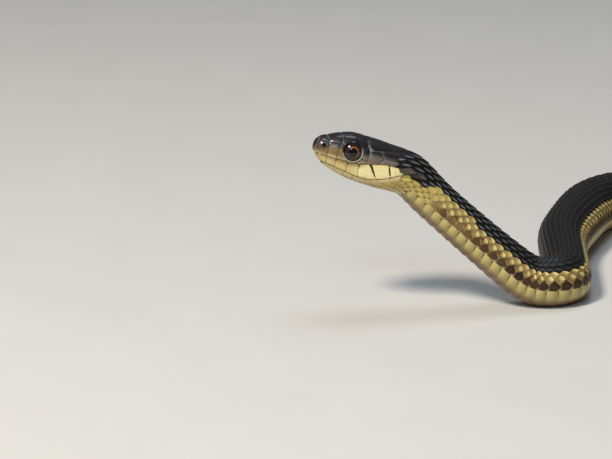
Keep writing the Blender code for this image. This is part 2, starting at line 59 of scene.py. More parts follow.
# Pairs of s and a size there, in this table and in those that follow
RADIUS = ((0, 4.1), (22, 4.15), (28, 4.05), (37, 4.15), (43, 4.3), (50, 4.6), (54, 4.85), (62, 5.0),
          (80, 5.3), (110, 5.7), (160, 6.0), (230, 5.9), (290, 5.2), (330, 4.2), (350, 3.65), (400, 2.2),
          (440, 1.0), (450, 0.7), (455, 0.25))
BELLY_SHARE = 0.95
# The body is a little narrower than deep where it bends sharply, and its scutes are closer there
WIDTH_SHARE = ((0, 1.0), (44, 1.0), (56, 0.86), (78, 0.86), (104, 1.0), (455, 1.0))
CROWDED = 0.5
CROWD_START, CROWD_END = (45.0, 53.0), (76.0, 66.0)
JOIN = (21.0, 26.0)
CROWN = ((-0.4, 2.7), (0, 2.85), (0.8, 3.15), (1.9, 3.6), (4.0, 4.45), (5.3, 4.85), (6.9, 5.15), (9.3, 5.1),
         (12, 4.95), (15, 4.7), (18, 4.65), (20, 4.5), (22, 4.3), (26, 4.1))
CHIN = ((-0.4, 0.0), (0, 0.12), (0.7, 0.68), (1.4, 1.3), (2.2, 1.9), (3.0, 2.25), (4.8, 2.8), (7.6, 3.4),
        (11, 3.65), (14, 3.75), (17, 3.75), (20, 3.75), (26, 3.85))
HALF_WIDTH = ((-0.4, 1.6), (1.5, 2.2), (3, 2.9), (5, 3.5), (7.7, 4.15), (10, 4.55), (13, 5.0), (15.5, 5.2),
              (17.5, 5.05), (19.5, 4.7), (22, 4.3), (26, 4.1))
WIDEST_LEVEL = ((-0.4, 1.0), (0, 0.9), (1, 0.4), (2.5, -0.4), (5, -1.1), (8, -1.4), (12, -1.2), (15, -0.6),
                (18, -0.1), (22, 0.0))
SQUARE_ABOVE = ((0, 2.2), (2, 2.6), (6, 2.9), (10, 2.7), (15, 2.4), (20, 2.1), (24, 2.0))
SQUARE_BELOW = ((0, 2.0), (5, 2.2), (12, 2.3), (18, 2.2), (24, 2.25))
SNOUT_TIP = -0.2
SNOUT_ROUND = 1.6
SNOUT_BLUNT = 3.0
MOUTH_CORNER = 17.8
LIP = ((-1, -1.2), (1.4, -1.28), (2.6, -1.32), (4.2, -1.48), (6.5, -1.75), (9.0, -2.05), (11.0, -1.95),
       (12.6, -1.5), (15.3, -0.57), (17.8, 0.2))
EYE_S, EYE_UP = 6.8, 2.2
EYE_DEPTH = 1.15
NOSTRIL_S, NOSTRIL_UP = 1.45, 1.85
# Ends of the lip's shields along its edge and along their tops
LABIAL_EDGES = (1.4, 2.6, 4.2, 6.45, 9.0, 12.5, 15.3, 17.7)
LABIAL_TOP_EDGES = (0.02, 2.4, 4.2, 6.45, 8.5, 10.65, 14.4, 16.7)
LABIAL_TOP = ((0.9, 0.1), (4.2, 0.1), (6.4, 0.1), (8.0, 0.2), (8.6, 0.35), (10.6, 0.9), (14.4, 1.65),
              (16.7, 1.4), (17.8, 1.3))
LOWER_LABIAL_EDGES = (2.2, 3.3, 4.7, 6.2, 8.0, 10.4, 12.9, 15.3, 17.4)
LOWER_LABIAL_DEPTH = 0.95
# How far back the snout's own shield reaches, by degrees from its top
ROSTRAL_EDGE = ((0, 0.45), (50, 0.1), (90, -0.06), (110, 0.0), (137, 0.65), (165, 1.35), (180, 1.5))

# Sizes of the finer forms that only the looks have
EYE_RADIUS = 1.78
EYE_BULGE = 0.72
EYE_OPENING = 1.86
PUPIL_RADIUS = 0.94
NOSTRIL_RADIUS = 0.32
EYE_RIM_TUBE = 0.1
SUTURE = 0.05
SKIN_UNDER_SHIELDS = -0.08
SKIN_UNDER_SCALES = -0.17
SHIELD_RISE = 0.07
SHIELD_SINK = -0.08
SHIELD_PUFF = 0.05
SCALE_LOW, SCALE_HIGH = -0.17, 0.09
SCALE_EDGE_DEPTH = 0.13
SCUTE_EDGE_DEPTH = 0.12
SCUTE_OVERLAP = 0.16
SCUTE_SINK = 0.14
BELLY_EDGE = 121.0
BELLY_EDGE_AT_THROAT = 126.0

# Shares of the side that each row of back scales takes, from the belly up, in degrees
ROW_SPANS = (19.5, 11.5, 10.5) + 7 * (12.23,)
ROWS = len(ROW_SPANS)
# Pairs of s and phi of the lower edge of the dark back, along the neck
STRIPE_EDGE = ((15.0, 72), (17.3, 76), (19.7, 91), (21.0, 93), (22.1, 88), (23.4, 79), (25.9, 71), (28.0, 72),
               (31.5, 73), (38.0, 78), (44.0, 79.5))
# Rows that end on the way to the tail tip, each with the s where it ends
ROW_ENDS = ((4, 235.0), (5, 352.0), (6, 364.0), (7, 378.0), (8, 394.0), (9, 414.0), (3, 436.0))
# Pairs of phi and the s where the rows of the neck begin there, behind the head's shields
ROW_STARTS = ((0, 16.9), (20, 16.7), (38, 15.8), (50, 15.2), (62, 15.2), (75, 17.2), (86, 17.9), (95, 21.6),
              (105, 22.8), (116, 23.2), (126, 23.2))


def ease(start, end, s):
    """0 before start, 1 after end, with a smooth rise between them."""
    t = np.clip((s - start) / (end - start), 0, 1)
    return t * t * t * (t * (6 * t - 15) + 10)


def turned(course, s):
    """The angle at s, in radians, of a course made of a first value and its bends."""
    first, bends = course
    return np.radians(first + sum(turn * ease(a, b, s) for a, b, turn in bends))


def along(table, s):
    """A smooth curve with no overshoot through the (s, value) pairs of a table."""
    x, y = np.array(table, float).T
    width = np.diff(x)
    slope = np.diff(y) / width
    tangent = np.concatenate([slope[:1], np.zeros(len(x) - 2), slope[-1:]])
    for i in range(1, len(x) - 1):
        if slope[i - 1] * slope[i] > 0:
            before, after = width[i - 1] + 2 * width[i], 2 * width[i - 1] + width[i]
            tangent[i] = (before + after) / (before / slope[i - 1] + after / slope[i])
    s = np.clip(s, x[0], x[-1])
    i = np.clip(np.searchsorted(x, s, side="right") - 1, 0, len(x) - 2)
    t = (s - x[i]) / width[i]
    rise = y[i] + (3 * t**2 - 2 * t**3) * (y[i + 1] - y[i])
    return rise + width[i] * ((t**3 - 2 * t**2 + t) * tangent[i] + (t**3 - t**2) * tangent[i + 1])


def make_spine():
    """Stations along the spine with their points and their tailward, upward and leftward directions."""
    s = np.arange(0, BODY_END + SPINE_STEP, SPINE_STEP)
    yaw, pitch, roll = (turned(course, s) for course in (YAW, PITCH, ROLL))
    lift = np.cumsum(np.sin(pitch)[::-1])[::-1] * SPINE_STEP
    height = REST_SHARE * along(RADIUS, s) + lift
    level = np.sqrt(1 - np.gradient(height, SPINE_STEP) ** 2)
    points = np.stack([level * np.cos(yaw), level * np.sin(yaw)], 1)
    points = np.cumsum(points, axis=0) * SPINE_STEP
    points = np.column_stack([points, height])
    tail = np.gradient(points, axis=0)
    tail /= np.linalg.norm(tail, axis=1)[:, None]
    up = np.array([0, 0, 1.0]) - tail * tail[:, 2:]
    up /= np.linalg.norm(up, axis=1)[:, None]
    left = np.cross(tail, up)
    up = up * np.cos(roll)[:, None] - left * np.sin(roll)[:, None]
    return s, points, tail, up, np.cross(tail, up)


SPINE = make_spine()
FINE_STEP = 0.05
FINE = np.arange(-0.4, BODY_END + FINE_STEP, FINE_STEP)


def section_table():
    """Crown, chin, half width, widest level and squareness at every fine station, before the snout closes."""
    body = along(RADIUS, FINE)
    neck = ease(*JOIN, FINE)
    crown = along(CROWN, FINE) * (1 - neck) + body * neck
    chin = along(CHIN, FINE) * (1 - neck) + BELLY_SHARE * body * neck
    width = along(HALF_WIDTH, FINE) * (1 - neck) + body * along(WIDTH_SHARE, FINE) * neck
    middle = along(WIDEST_LEVEL, FINE)
    squares = along(SQUARE_ABOVE, FINE), along(SQUARE_BELOW, FINE)
    return crown - middle, chin + middle, width, middle, *squares


SECTIONS = section_table()


def spine_at(s):
    """The spine's point and its three directions at s, straight on past the snout."""
    stations, *columns = SPINE
    place = np.clip(np.asarray(s, float) / SPINE_STEP, 0, len(stations) - 1.001)
    low = place.astype(int)
    share = (place - low)[..., None]
    point, tail, up, left = (column[low] * (1 - share) + column[low + 1] * share for column in columns)
    beyond = np.minimum(s, 0)
    return point + tail * beyond[..., None], tail, up, left


def section(s):
    """Reach above and below, half width, widest level and squareness above and below, at s."""
    place = np.clip((np.asarray(s, float) - FINE[0]) / FINE_STEP, 0, len(FINE) - 1.001)
    low = place.astype(int)
    share = place - low
    above, below, width, middle, square_above, square_below = (
        table[low] * (1 - share) + table[low + 1] * share for table in SECTIONS
    )
    snout = np.clip(1 - (s - SNOUT_TIP) / SNOUT_ROUND, 0, 1)
    close = (1 - snout**SNOUT_BLUNT) ** (1 / SNOUT_BLUNT)
    return above * close, below * close, width * close, middle, square_above, square_below


def side_and_height(s, phi):
    """How far to the left of the spine and above it the bare skin's point is."""
    above, below, width, middle, square_above, square_below = section(s)
    angle = np.radians(phi)
    sine, cosine = np.sin(angle), np.cos(angle)
    square = np.where(cosine > 0, square_above, square_below)
    reach = np.where(cosine > 0, above, below)
    side = width * np.sign(sine) * np.abs(sine) ** (2 / square)
    return side, middle + reach * np.sign(cosine) * np.abs(cosine) ** (2 / square)


def on_skin(s, phi):
    """Points of the bare skin. s and phi are single numbers or arrays of one shape."""
    side, height = side_and_height(s, phi)
    point, _, up, left = spine_at(s)
    return point + up * height[..., None] + left * side[..., None]


def skin(s, phi, lift=0.0):
    """Points at a height of lift over the skin, never below the floor."""
    s, phi = np.broadcast_arrays(np.asarray(s, float), np.asarray(phi, float))
    small_s, small_phi = np.minimum(0.02, 0.4 * (s - SNOUT_TIP)), 0.5
    ahead = on_skin(s + small_s, phi) - on_skin(s - small_s, phi)
    round_it = on_skin(s, phi + small_phi) - on_skin(s, phi - small_phi)
    normal = np.cross(round_it, ahead)
    normal /= np.maximum(np.linalg.norm(normal, axis=-1, keepdims=True), 1e-12)
    base = on_skin(s, phi)
    point, _, up, _ = spine_at(s)
    outward = base - point - up * section(s)[3][..., None]
    normal *= np.where((normal * outward).sum(-1, keepdims=True) < 0, -1, 1)
    points = base + normal * np.asarray(lift)[..., None]
    points[..., 2] = np.maximum(points[..., 2], 0)
    return points


def angle_from_side(s, side):
    """phi of the skin point of the upper half that lies this far to the side of the spine."""
    _, _, width, _, square, _ = section(s)
    share = np.clip(np.abs(side) / width, 0, 1)
    return np.sign(side) * np.degrees(np.arcsin(share ** (square / 2)))


def angle_from_height(s, height):
    """phi of the left skin point at this height above the spine."""
    above, below, _, middle, square_above, square_below = section(s)
    over = np.clip((height - middle) / above, 0, 1) ** (square_above / 2)
    under = np.clip((middle - height) / below, 0, 1) ** (square_below / 2)
    return np.where(height >= middle, np.degrees(np.arccos(over)), 180 - np.degrees(np.arccos(under)))


def folded(phi):
    """Degrees from the middle of the back down either side, for any phi."""
    return np.abs((phi + 180) % 360 - 180)


def crown(s, side):
    """A place on the head given by its distance from the middle line."""
    return s, float(angle_from_side(s, side))


def flank(s, height):
    """A place on the left of the head given by its height."""
    return s, float(angle_from_height(s, height))


def below(s, degrees):
    """A place under the head given by its angle from the middle of the throat."""
    return s, 180.0 - degrees


def scute_edges(start, end, count):
    """Front edges of count scutes and the last rear edge, wider where the body is thicker."""
    s = np.linspace(start, end, 2000)
    crowd = 1 + CROWDED * ease(*CROWD_START, s) * ease(*CROWD_END, s)
    scutes = np.cumsum(along(RADIUS, s) ** -0.35 * crowd)
    scutes = (scutes - scutes[0]) / (scutes[-1] - scutes[0]) * count
    return np.interp(np.arange(count + 1), scutes, s)


EYE_AT = np.array(flank(EYE_S, EYE_UP))
NOSTRIL_AT = np.array(flank(NOSTRIL_S, NOSTRIL_UP))


def eye_centre():
    """The middle of the left eyeball of the solids."""
    return skin(*EYE_AT) - EYE_DEPTH * spine_at(EYE_S)[3]


low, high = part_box("eye_left")
# From the spine's own origin to the frame's
OFFSET = np.array((low + high) / 2) - eye_centre() * MM
OFFSET[2] = 0.0


def pigment(*colour):
    """Red, green and blue of 0 to 255 as the linear light that a shader takes."""
    share = np.array(colour, float) / 255
    return np.where(share <= 0.04045, share / 12.92, ((share + 0.055) / 1.055) ** 2.4)


def blend(first, second, share):
    """A colour between two, by a share that may be an array."""
    share = np.asarray(share)[..., None]
    return first * (1 - share) + second * share


# Colours of the living animal, and some that paint light or shade, each noted where it is set
CROWN_BLACK = pigment(27, 24, 25)
SUTURE_GREY = pigment(150, 158, 166)
LIP_YELLOW = pigment(236, 219, 158)
LIP_SHADE = pigment(186, 162, 98)
LIP_BAR = pigment(26, 20, 16)
# Painted shade: the black inside the nostril's hollow
NOSTRIL_SHADE = np.full(3, 0.002)
# The mouth line: partly its own dark colour, partly painted shade in the groove
MOUTH_DARK_AND_SHADE = pigment(60, 38, 26)
LOREAL_OLIVE = pigment(126, 106, 68)
POSTOCULAR_TAN = pigment(164, 122, 76)
TEMPLE_GREY = pigment(106, 96, 86)
CHIN_CREAM = pigment(208, 184, 128)
THROAT_YELLOW = pigment(200, 178, 94)
STRIPE_YELLOW = pigment(232, 208, 132)
STRIPE_BROWN = pigment(96, 62, 28)
SPOT_BROWN = pigment(38, 23, 13)
SCALE_GAP = pigment(46, 36, 24)
BACK_BLACK = pigment(15, 13, 12)
BACK_BROWN = pigment(28, 22, 17)
# Painted highlight: the grey of glints along the tips of the back's scales
BACK_TIP_SHEEN = pigment(62, 58, 54)
# Painted highlight: the grey of sheen along the back scales' keels
KEEL_SHEEN = pigment(128, 132, 136)
BELLY_CREAM = pigment(202, 183, 114)
# The belly's middle: partly its own greyer colour, partly painted shade of the underside
BELLY_GREY_AND_SHADE = pigment(140, 112, 74)
BELLY_MARK = pigment(74, 54, 32)
EYE_BLACK = (0.003, 0.003, 0.004, 1)
IRIS_RING_DARK = (*pigment(70, 42, 22), 1)
IRIS_RING_GOLD = (*pigment(206, 134, 66), 1)
IRIS_BROWN = (*pigment(58, 36, 22), 1)
IRIS_RIM = (*pigment(24, 17, 14), 1)


def ramp(low, high, value):
    """0 below low, 1 above high, and smooth between."""
    t = np.clip((value - low) / (high - low), 0, 1)
    return t * t * (3 - 2 * t)


class Stock:
    """Points, faces, tints and places on the bake's map, gathered for one piece."""

    def __init__(self):
        self.points, self.tints, self.places, self.quads, self.tris = [], [], [], [], []
        self.count = 0

    def add(self, points, tints, places, quads, tris=None):
        """Adds one form. quads and tris number its own points from 0."""
        self.points.append(points.reshape(-1, 3))
        self.tints.append(tints.reshape(-1, 4))
        self.places.append(places.reshape(-1, 2))
        self.quads.append(np.asarray(quads).reshape(-1, 4) + self.count)
        if tris is not None:
            self.tris.append(np.asarray(tris).reshape(-1, 3) + self.count)
        self.count += self.points[-1].shape[0]

    def make(self, name, material, nodes=()):
        """The mesh object of everything gathered, riding on the root."""
        points = np.concatenate(self.points) * MM + OFFSET
        quads = np.concatenate(self.quads)
        tris = np.concatenate(self.tris) if self.tris else np.zeros((0, 3), int)
        corners = np.concatenate([quads.ravel(), tris.ravel()])
        sizes = np.concatenate([np.full(len(quads), 4), np.full(len(tris), 3)])
        mesh = bpy.data.meshes.new(name)
        mesh.vertices.add(len(points))
        mesh.vertices.foreach_set("co", points.astype(np.float32).ravel())
        mesh.loops.add(len(corners))
        mesh.loops.foreach_set("vertex_index", corners.astype(np.int32))
        mesh.polygons.add(len(sizes))
        mesh.polygons.foreach_set("loop_start", (np.cumsum(sizes) - sizes).astype(np.int32))
        mesh.polygons.foreach_set("use_smooth", np.ones(len(sizes), bool))
        mesh.update(calc_edges=True)
        mesh.validate()
        tint = mesh.attributes.new("tint", "FLOAT_COLOR", "POINT")
        tint.data.foreach_set("color", np.concatenate(self.tints).astype(np.float32).ravel())
        places = np.concatenate(self.places)[corners]
        mesh.uv_layers.new(name="OFBake").data.foreach_set("uv", places.astype(np.float32).ravel())
        mesh.materials.append(material)
        piece = bpy.data.objects.new(name, mesh)
        bpy.context.scene.collection.objects.link(piece)
        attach(piece, "root")
        if nodes:
            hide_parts(*nodes)


def grid_quads(rows, columns, wrap=False):
    """Faces of a grid of points, closed round on itself where wrap is set."""
    i, j = np.meshgrid(np.arange(rows - 1), np.arange(columns if wrap else columns - 1), indexing="ij")
    a, b = i * columns + j, i * columns + (j + 1) % columns
    return np.stack([a, a + columns, b + columns, b], -1).reshape(-1, 4)


def torus_quads(rows, columns):
    """Faces of a grid of points that closes on itself both ways."""
    i, j = np.meshgrid(np.arange(rows), np.arange(columns), indexing="ij")
    ahead, after = (i + 1) % rows, (j + 1) % columns
    corners = [i * columns + j, ahead * columns + j, ahead * columns + after, i * columns + after]
    return np.stack(corners, -1).reshape(-1, 4)


def fan(ring, point, outward=False):
    """Triangles from each side of a closed ring of points to one point."""
    after, point = np.roll(ring, -1), np.full(len(ring), point)
    return np.stack([ring, after, point] if outward else [ring, point, after], -1)


def plate_faces(rings, count):
    """Faces of rings of count points each that close on one point."""
    return grid_quads(rings, count, wrap=True), fan((rings - 1) * count + np.arange(count), rings * count)


def skirt_quads(first, count):
    """Faces between a run of count points that starts at first and a second such run after it."""
    k = first + np.arange(count - 1)
    return np.stack([k, k + count, k + count + 1, k + 1], -1)


def repeated(quads, copies, each):
    """The same faces on many forms that have a number of points each."""
    return quads[None] + (np.arange(copies) * each)[:, None, None]


def distance_to(points, others):
    """Distance of each point to the nearest of the others."""
    gap = points.reshape(-1, 1, 3) - others.reshape(1, -1, 3)
    return np.sqrt((gap**2).sum(-1)).min(1).reshape(points.shape[:-1])


def tinted(colour, alpha):
    """Red, green, blue and a fourth number, how near the edge of its scale a point is."""
    alpha = np.broadcast_to(np.asarray(alpha)[..., None], colour.shape[:-1] + (1,))
    return np.concatenate([colour, alpha], -1)


# Markings that the skin and everything on it share, with painted shade of the underside in the belly's colour
def stripe_edge(s):
    """phi where the yellow of the side gives way to the dark back."""
    return along(STRIPE_EDGE, s)


def stripe_yellow(s):
    """The yellow of the side, duller on the throat."""
    return blend(STRIPE_YELLOW, THROAT_YELLOW, ease(30, 18, s))


def side_colour(s, phi):
    """The ground colour round the body, before the single scales vary it, browner towards the middle of the
    belly, partly its own colour and partly painted shade of the underside.
    """
    turn = folded(phi)
    belly = blend(BELLY_CREAM, BELLY_GREY_AND_SHADE, ramp(150, 180, turn))
    colour = blend(BACK_BLACK, stripe_yellow(s), ramp(-1.0, 1.0, turn - stripe_edge(s)))
    return blend(colour, belly, ramp(BELLY_EDGE - 3, BELLY_EDGE + 3, turn))


# Head shields
POINTS_PER_SIDE = 14
OUTLINE_STEP = 0.085
OUTLINE_COUNTS = (24, 110)
CORNER_ROUNDS = 5
SHIELD_RINGS = np.array([1, 0.985, 0.96, 0.925, 0.87, 0.78, 0.62, 0.4, 0.18])
SNOUT_RINGS = np.array([1, 0.985, 0.96, 0.93, 0.88, 0.8, 0.68, 0.5, 0.25])
# Distances of the rings round the nostril, and shares of the way out from there to the shield's edge
NOSTRIL_RINGS = np.array([0.64, 0.54, 0.46, 0.4, 0.35, 0.3, 0.25, 0.2, 0.14, 0.07])
NASAL_SHARES = (1, 0.97, 0.92, 0.84, 0.7, 0.5, 0.25)


def lip_height(s):
    """Height of the mouth line."""
    return along(LIP, s)


def labial_top(s):
    """Height of the upper edge of the upper lip's shields."""
    return along(LABIAL_TOP, s)


def even_outline(corners):
    """A closed outline through the corners as evenly spaced places, its corners softened."""
    corners = np.array(corners, float)
    share = np.linspace(0, 1, POINTS_PER_SIDE, endpoint=False)[:, None]
    dense = np.concatenate([a + (b - a) * share for a, b in zip(corners, np.roll(corners, -1, 0))])
    points = on_skin(*dense.T)
    steps = np.linalg.norm(np.roll(points, -1, 0) - points, axis=1)
    length = np.concatenate([[0], np.cumsum(steps)])
    count = int(np.clip(length[-1] / OUTLINE_STEP, *OUTLINE_COUNTS))
    wanted = np.linspace(0, length[-1], count, endpoint=False)
    closed = np.concatenate([dense, dense[:1]])
    outline = np.stack([np.interp(wanted, length, closed[:, k]) for k in range(2)], 1)
    for _ in range(CORNER_ROUNDS):
        outline = (np.roll(outline, 1, 0) + 2 * outline + np.roll(outline, -1, 0)) / 4
    return outline


def clear_of_eye(outline):
    """The same outline pushed out of the eye's opening."""
    eye = on_skin(*EYE_AT)
    for _ in range(3):
        far = np.linalg.norm(on_skin(*outline.T) - eye, axis=1)
        push = np.maximum(EYE_OPENING / np.maximum(far, 1e-6), 1)
        outline = EYE_AT + (outline - EYE_AT) * push[:, None]
    return outline


def jaw_tuck(s, height):
    """How far the lower jaw stays inside the upper lip."""
    below_lip = ramp(0.0, 0.12, lip_height(s) - 0.03 - height)
    return 0.07 * below_lip * ramp(18.5, 15.5, s) * ramp(0.6, 1.4, s)


def from_nostril(points):
    """Distance of points of the left half from the middle of the nostril."""
    return np.linalg.norm(points - on_skin(*NOSTRIL_AT), axis=-1)


def hollow(points):
    """How far the nostril and its low rim raise or sink the surface at points of the left half."""
    far = from_nostril(points)
    return 0.05 * ramp(1.0, NOSTRIL_RADIUS, far) - 0.5 * ramp(1.15 * NOSTRIL_RADIUS, 0.0, far)


def plate_lift(edge, rise, puff, sink):
    """Height of a plate over the skin at a distance from its edge: a rounded rim, then a low dome."""
    return sink + (rise - sink) * ramp(-0.02, 0.13, edge) + puff * (1 - np.exp(-edge / 0.5))


def rings_in(outline, middle, shares):
    """Places on rings from an outline in to its middle, and last the middle itself."""
    places = middle + (outline - middle)[None] * shares[..., None]
    return np.concatenate([places.reshape(-1, 2), middle[None]])


def rings_round_nostril(outline, reach):
    """Places of the nasal shield, whose inner rings keep their distances from the nostril."""
    level = np.stack([outline[:, 0], side_and_height(*outline.T)[1]], 1)
    inner = NOSTRIL_RINGS[0] / reach
    outer = [inner + (1 - inner) * share for share in NASAL_SHARES]
    shares = np.concatenate([outer, NOSTRIL_RINGS[:, None] / reach])
    places = rings_in(level, np.array([NOSTRIL_S, NOSTRIL_UP]), shares)
    places[:, 1] = angle_from_height(*places.T)
    return places, len(shares)


def shield(stock, corners, colour, mirror=1, rise=SHIELD_RISE, puff=SHIELD_PUFF, sink=SHIELD_SINK, gap=SUTURE,
           nostril=False):
    """One smooth plate with a rounded edge, laid over the skin inside an outline of (s, phi) corners."""
    outline = clear_of_eye(even_outline(corners))
    middle = NOSTRIL_AT if nostril else outline.mean(0)
    reach = np.linalg.norm(on_skin(*outline.T) - on_skin(*middle), axis=1)
    outline = middle + (outline - middle) * (1 - 0.5 * gap / reach)[:, None]
    if nostril:
        places, rings = rings_round_nostril(outline, reach)
    else:
        places, rings = rings_in(outline, middle, SHIELD_RINGS[:, None]), len(SHIELD_RINGS)
    s, phi = places.T
    flat = on_skin(s, phi)
    edge = distance_to(flat, on_skin(*outline.T))
    height = side_and_height(s, phi)[1]
    lift = plate_lift(edge, rise, puff, sink) + hollow(flat) - jaw_tuck(s, height)
    tints = tinted(colour(s, phi, height, edge), 1 - ramp(0.0, 0.35, edge))
    bake = np.stack([(s + 0.5) / 22, (mirror * phi / 360) % 1.0], -1)
    quads, tris = plate_faces(rings, len(outline))
    if mirror < 0:
        quads, tris = quads[:, ::-1], tris[:, ::-1]
    stock.add(skin(s, mirror * phi, lift), tints, bake, quads, tris)


def crown_colour(s, phi, height, edge):
    """Near black, faintly browner down the sides."""
    base = blend(CROWN_BLACK, TEMPLE_GREY, 0.5 * ramp(3.2, 1.6, height))
    return blend(base, SUTURE_GREY, 0.35 * ramp(0.05, 0.0, edge))


def temple_colour(s, phi, height, edge):
    """Dark grey-brown, lighter towards the lip."""
    base = blend(TEMPLE_GREY, CROWN_BLACK, ramp(2.2, 3.2, height))
    base = blend(base, POSTOCULAR_TAN, 0.35 * ramp(1.8, 1.1, height) * ramp(12.5, 10.5, s))
    return blend(base, SUTURE_GREY, 0.3 * ramp(0.06, 0.0, edge))


def loreal_colour(s, phi, height, edge):
    """Olive brown, darkening into the crown above and clearing to yellow below."""
    base = blend(LOREAL_OLIVE, CROWN_BLACK, ramp(1.9, 2.7, height))
    return blend(base, LIP_YELLOW, 0.55 * ramp(0.9, 0.2, height))


def nasal_colour(s, phi, height, edge):
    """Dark round the nostril and above, tan below, with painted shade filling the nostril's hollow."""
    near = from_nostril(on_skin(s, phi))
    base = blend(LOREAL_OLIVE, CROWN_BLACK, ramp(1.5, 2.3, height))
    base = blend(base, CROWN_BLACK, 0.8 * ramp(0.95, 0.45, near))
    base = blend(base, CROWN_BLACK, 0.65 * ramp(1.3, 0.4, s) * ramp(0.4, 1.1, height))
    base = blend(base, LIP_YELLOW, 0.5 * ramp(0.7, 0.1, height))
    # Painted shade fills the nostril
    return blend(base, NOSTRIL_SHADE, ramp(0.4, 0.26, near))


def rostral_colour(s, phi, height, edge):
    """Yellow at the lip and dark above."""
    base = blend(LIP_YELLOW, LOREAL_OLIVE, ramp(-0.3, 0.4, height))
    return blend(base, CROWN_BLACK, ramp(0.3, 1.2, height))


def postocular_colour(s, phi, height, edge):
    """Warm tan in dark frames, darker towards the crown."""
    tan = 0.8 * ramp(0.1, 0.35, edge) * ramp(2.2, 1.2, height)
    base = blend(TEMPLE_GREY, POSTOCULAR_TAN, tan)
    return blend(base, CROWN_BLACK, ramp(1.8, 2.8, height))


# Sutures of the upper lip, counted from the front: half widths of the black bars at the lip and what
# they gain towards the top, those with a brown blotch at the top, and the one at the corner of the mouth
LIP_BARS = {5: (0.06, 0.3), 6: (0.15, 0.05)}
LIP_BLOTCHES = (2, 3, 4)
LIP_CORNER = 7


def upper_lip_colour(s, phi, height, edge):
    """Pale yellow with a black bar along two slanted sutures and dark blotches along the top."""
    lip = lip_height(s)
    level = np.clip((height - lip) / (labial_top(s) - lip), 0, 1)
    front = ramp(9.5, 6.5, s)
    base = blend(LIP_YELLOW, LIP_SHADE, 0.5 * ramp(0.75, 1.0, level) + 0.4 * ramp(0.2, 0.0, level))
    base = blend(base, LIP_SHADE, 0.75 * front)
    mark = 0.3 * ramp(0.06, 0.01, edge)
    for k, (low_s, top_s) in enumerate(zip(LABIAL_EDGES, LABIAL_TOP_EDGES)):
        across = s - (low_s + (top_s - low_s) * level)
        if k in LIP_BARS:
            at_lip, gain = LIP_BARS[k]
            width = at_lip + gain * level
            bar = ramp(width, 0.7 * width, np.abs(across + 0.06)) * ramp(0.08, 0.3, level)
            mark = np.maximum(mark, bar)
        elif k in LIP_BLOTCHES:
            mark = np.maximum(mark, 0.8 * ramp(0.22, 0.08, np.abs(across)) * ramp(0.62, 0.9, level))
        elif k == LIP_CORNER:
            mark = np.maximum(mark, 0.9 * ramp(0.5, 0.2, np.abs(across)) * ramp(0.2, 0.5, level))
    base = blend(base, LOREAL_OLIVE, 0.6 * ramp(0.4, 1.0, level) * front)
    base = blend(base, STRIPE_BROWN, 0.5 * ramp(0.72, 0.95, level) * ramp(10.5, 8.5, s))
    return blend(base, LIP_BAR, mark)


def lower_lip_colour(s, phi, height, edge):
    """Cream, with thin brown sutures."""
    base = blend(CHIN_CREAM, LIP_SHADE, 0.35 * ramp(5, 0, s))
    return blend(base, BELLY_MARK, 0.2 * ramp(0.06, 0.01, edge))


def even_curve(start, end, height, count=6):
    """Flank places along a curve of heights between two stations."""
    return [flank(s, float(height(s))) for s in np.linspace(start, end, count)]


# Corners that neighbouring shields share
ROSTRAL_MID, ROSTRAL_SIDE = crown(0.5, 0.0), crown(0.27, 0.85)
NASAL_TOP, NASAL_REAR = crown(1.5, 1.72), crown(2.24, 2.02)
INTERNASAL_REAR = crown(1.86, 0.0)
PREFRONTAL_EDGE, PREFRONTAL_CORNER = crown(3.2, 2.5), crown(4.4, 2.86)
FRONTAL_CORNER, PREFRONTAL_REAR = crown(4.62, 1.45), crown(4.38, 0.0)
FRONTAL_SIDE, FRONTAL_REAR, FRONTAL_TIP = crown(7.2, 1.2), crown(9.05, 1.1), crown(10.2, 0.0)
BROW_REAR = crown(9.55, 3.2)
LOREAL_LOW, LOREAL_TOP = flank(4.17, 0.24), flank(4.1, 3.05)
TEMPLE_FRONT_LOW, TEMPLE_FRONT_TOP = flank(9.75, 0.68), flank(9.95, 3.2)
TEMPLE_REAR_LOW, TEMPLE_REAR_MID, TEMPLE_REAR_TOP = flank(12.0, 1.25), flank(13.05, 2.5), flank(12.1, 3.68)
TEMPLE_END_LOW, TEMPLE_END_MID, TEMPLE_END_TOP = flank(15.4, 1.62), flank(15.7, 2.65), flank(15.3, 4.0)
TEMPLE_UPPER = flank(14.1, 4.06)
PARIETAL_LOW = flank(10.5, 3.45)
NASAL_LOW = flank(2.35, 1.4)
POSTOCULAR_LOW, POSTOCULAR_HIGH = flank(9.85, 1.35), flank(9.95, 2.3)
NASAL_LOWER_EDGE = 0.12
# Shields under the lower jaw, as pairs of s and degrees from the middle of the throat
FRONT_CHIN = ((3.2, 1.0), (3.4, 13), (4.8, 24), (6.2, 22), (7.0, 17), (7.1, 1.0))
REAR_CHIN = ((7.2, 1.5), (7.15, 17), (9.4, 25), (12.0, 21), (12.1, 13), (9.0, 3.0))
MENTAL = ((1.7, 0), (1.95, 14), (2.35, 22), (3.0, 2), (3.0, -2), (2.35, -22), (1.95, -14))
# Gap between the mouth line and the shields of lower lip and snout
LIP_GAP = 0.06


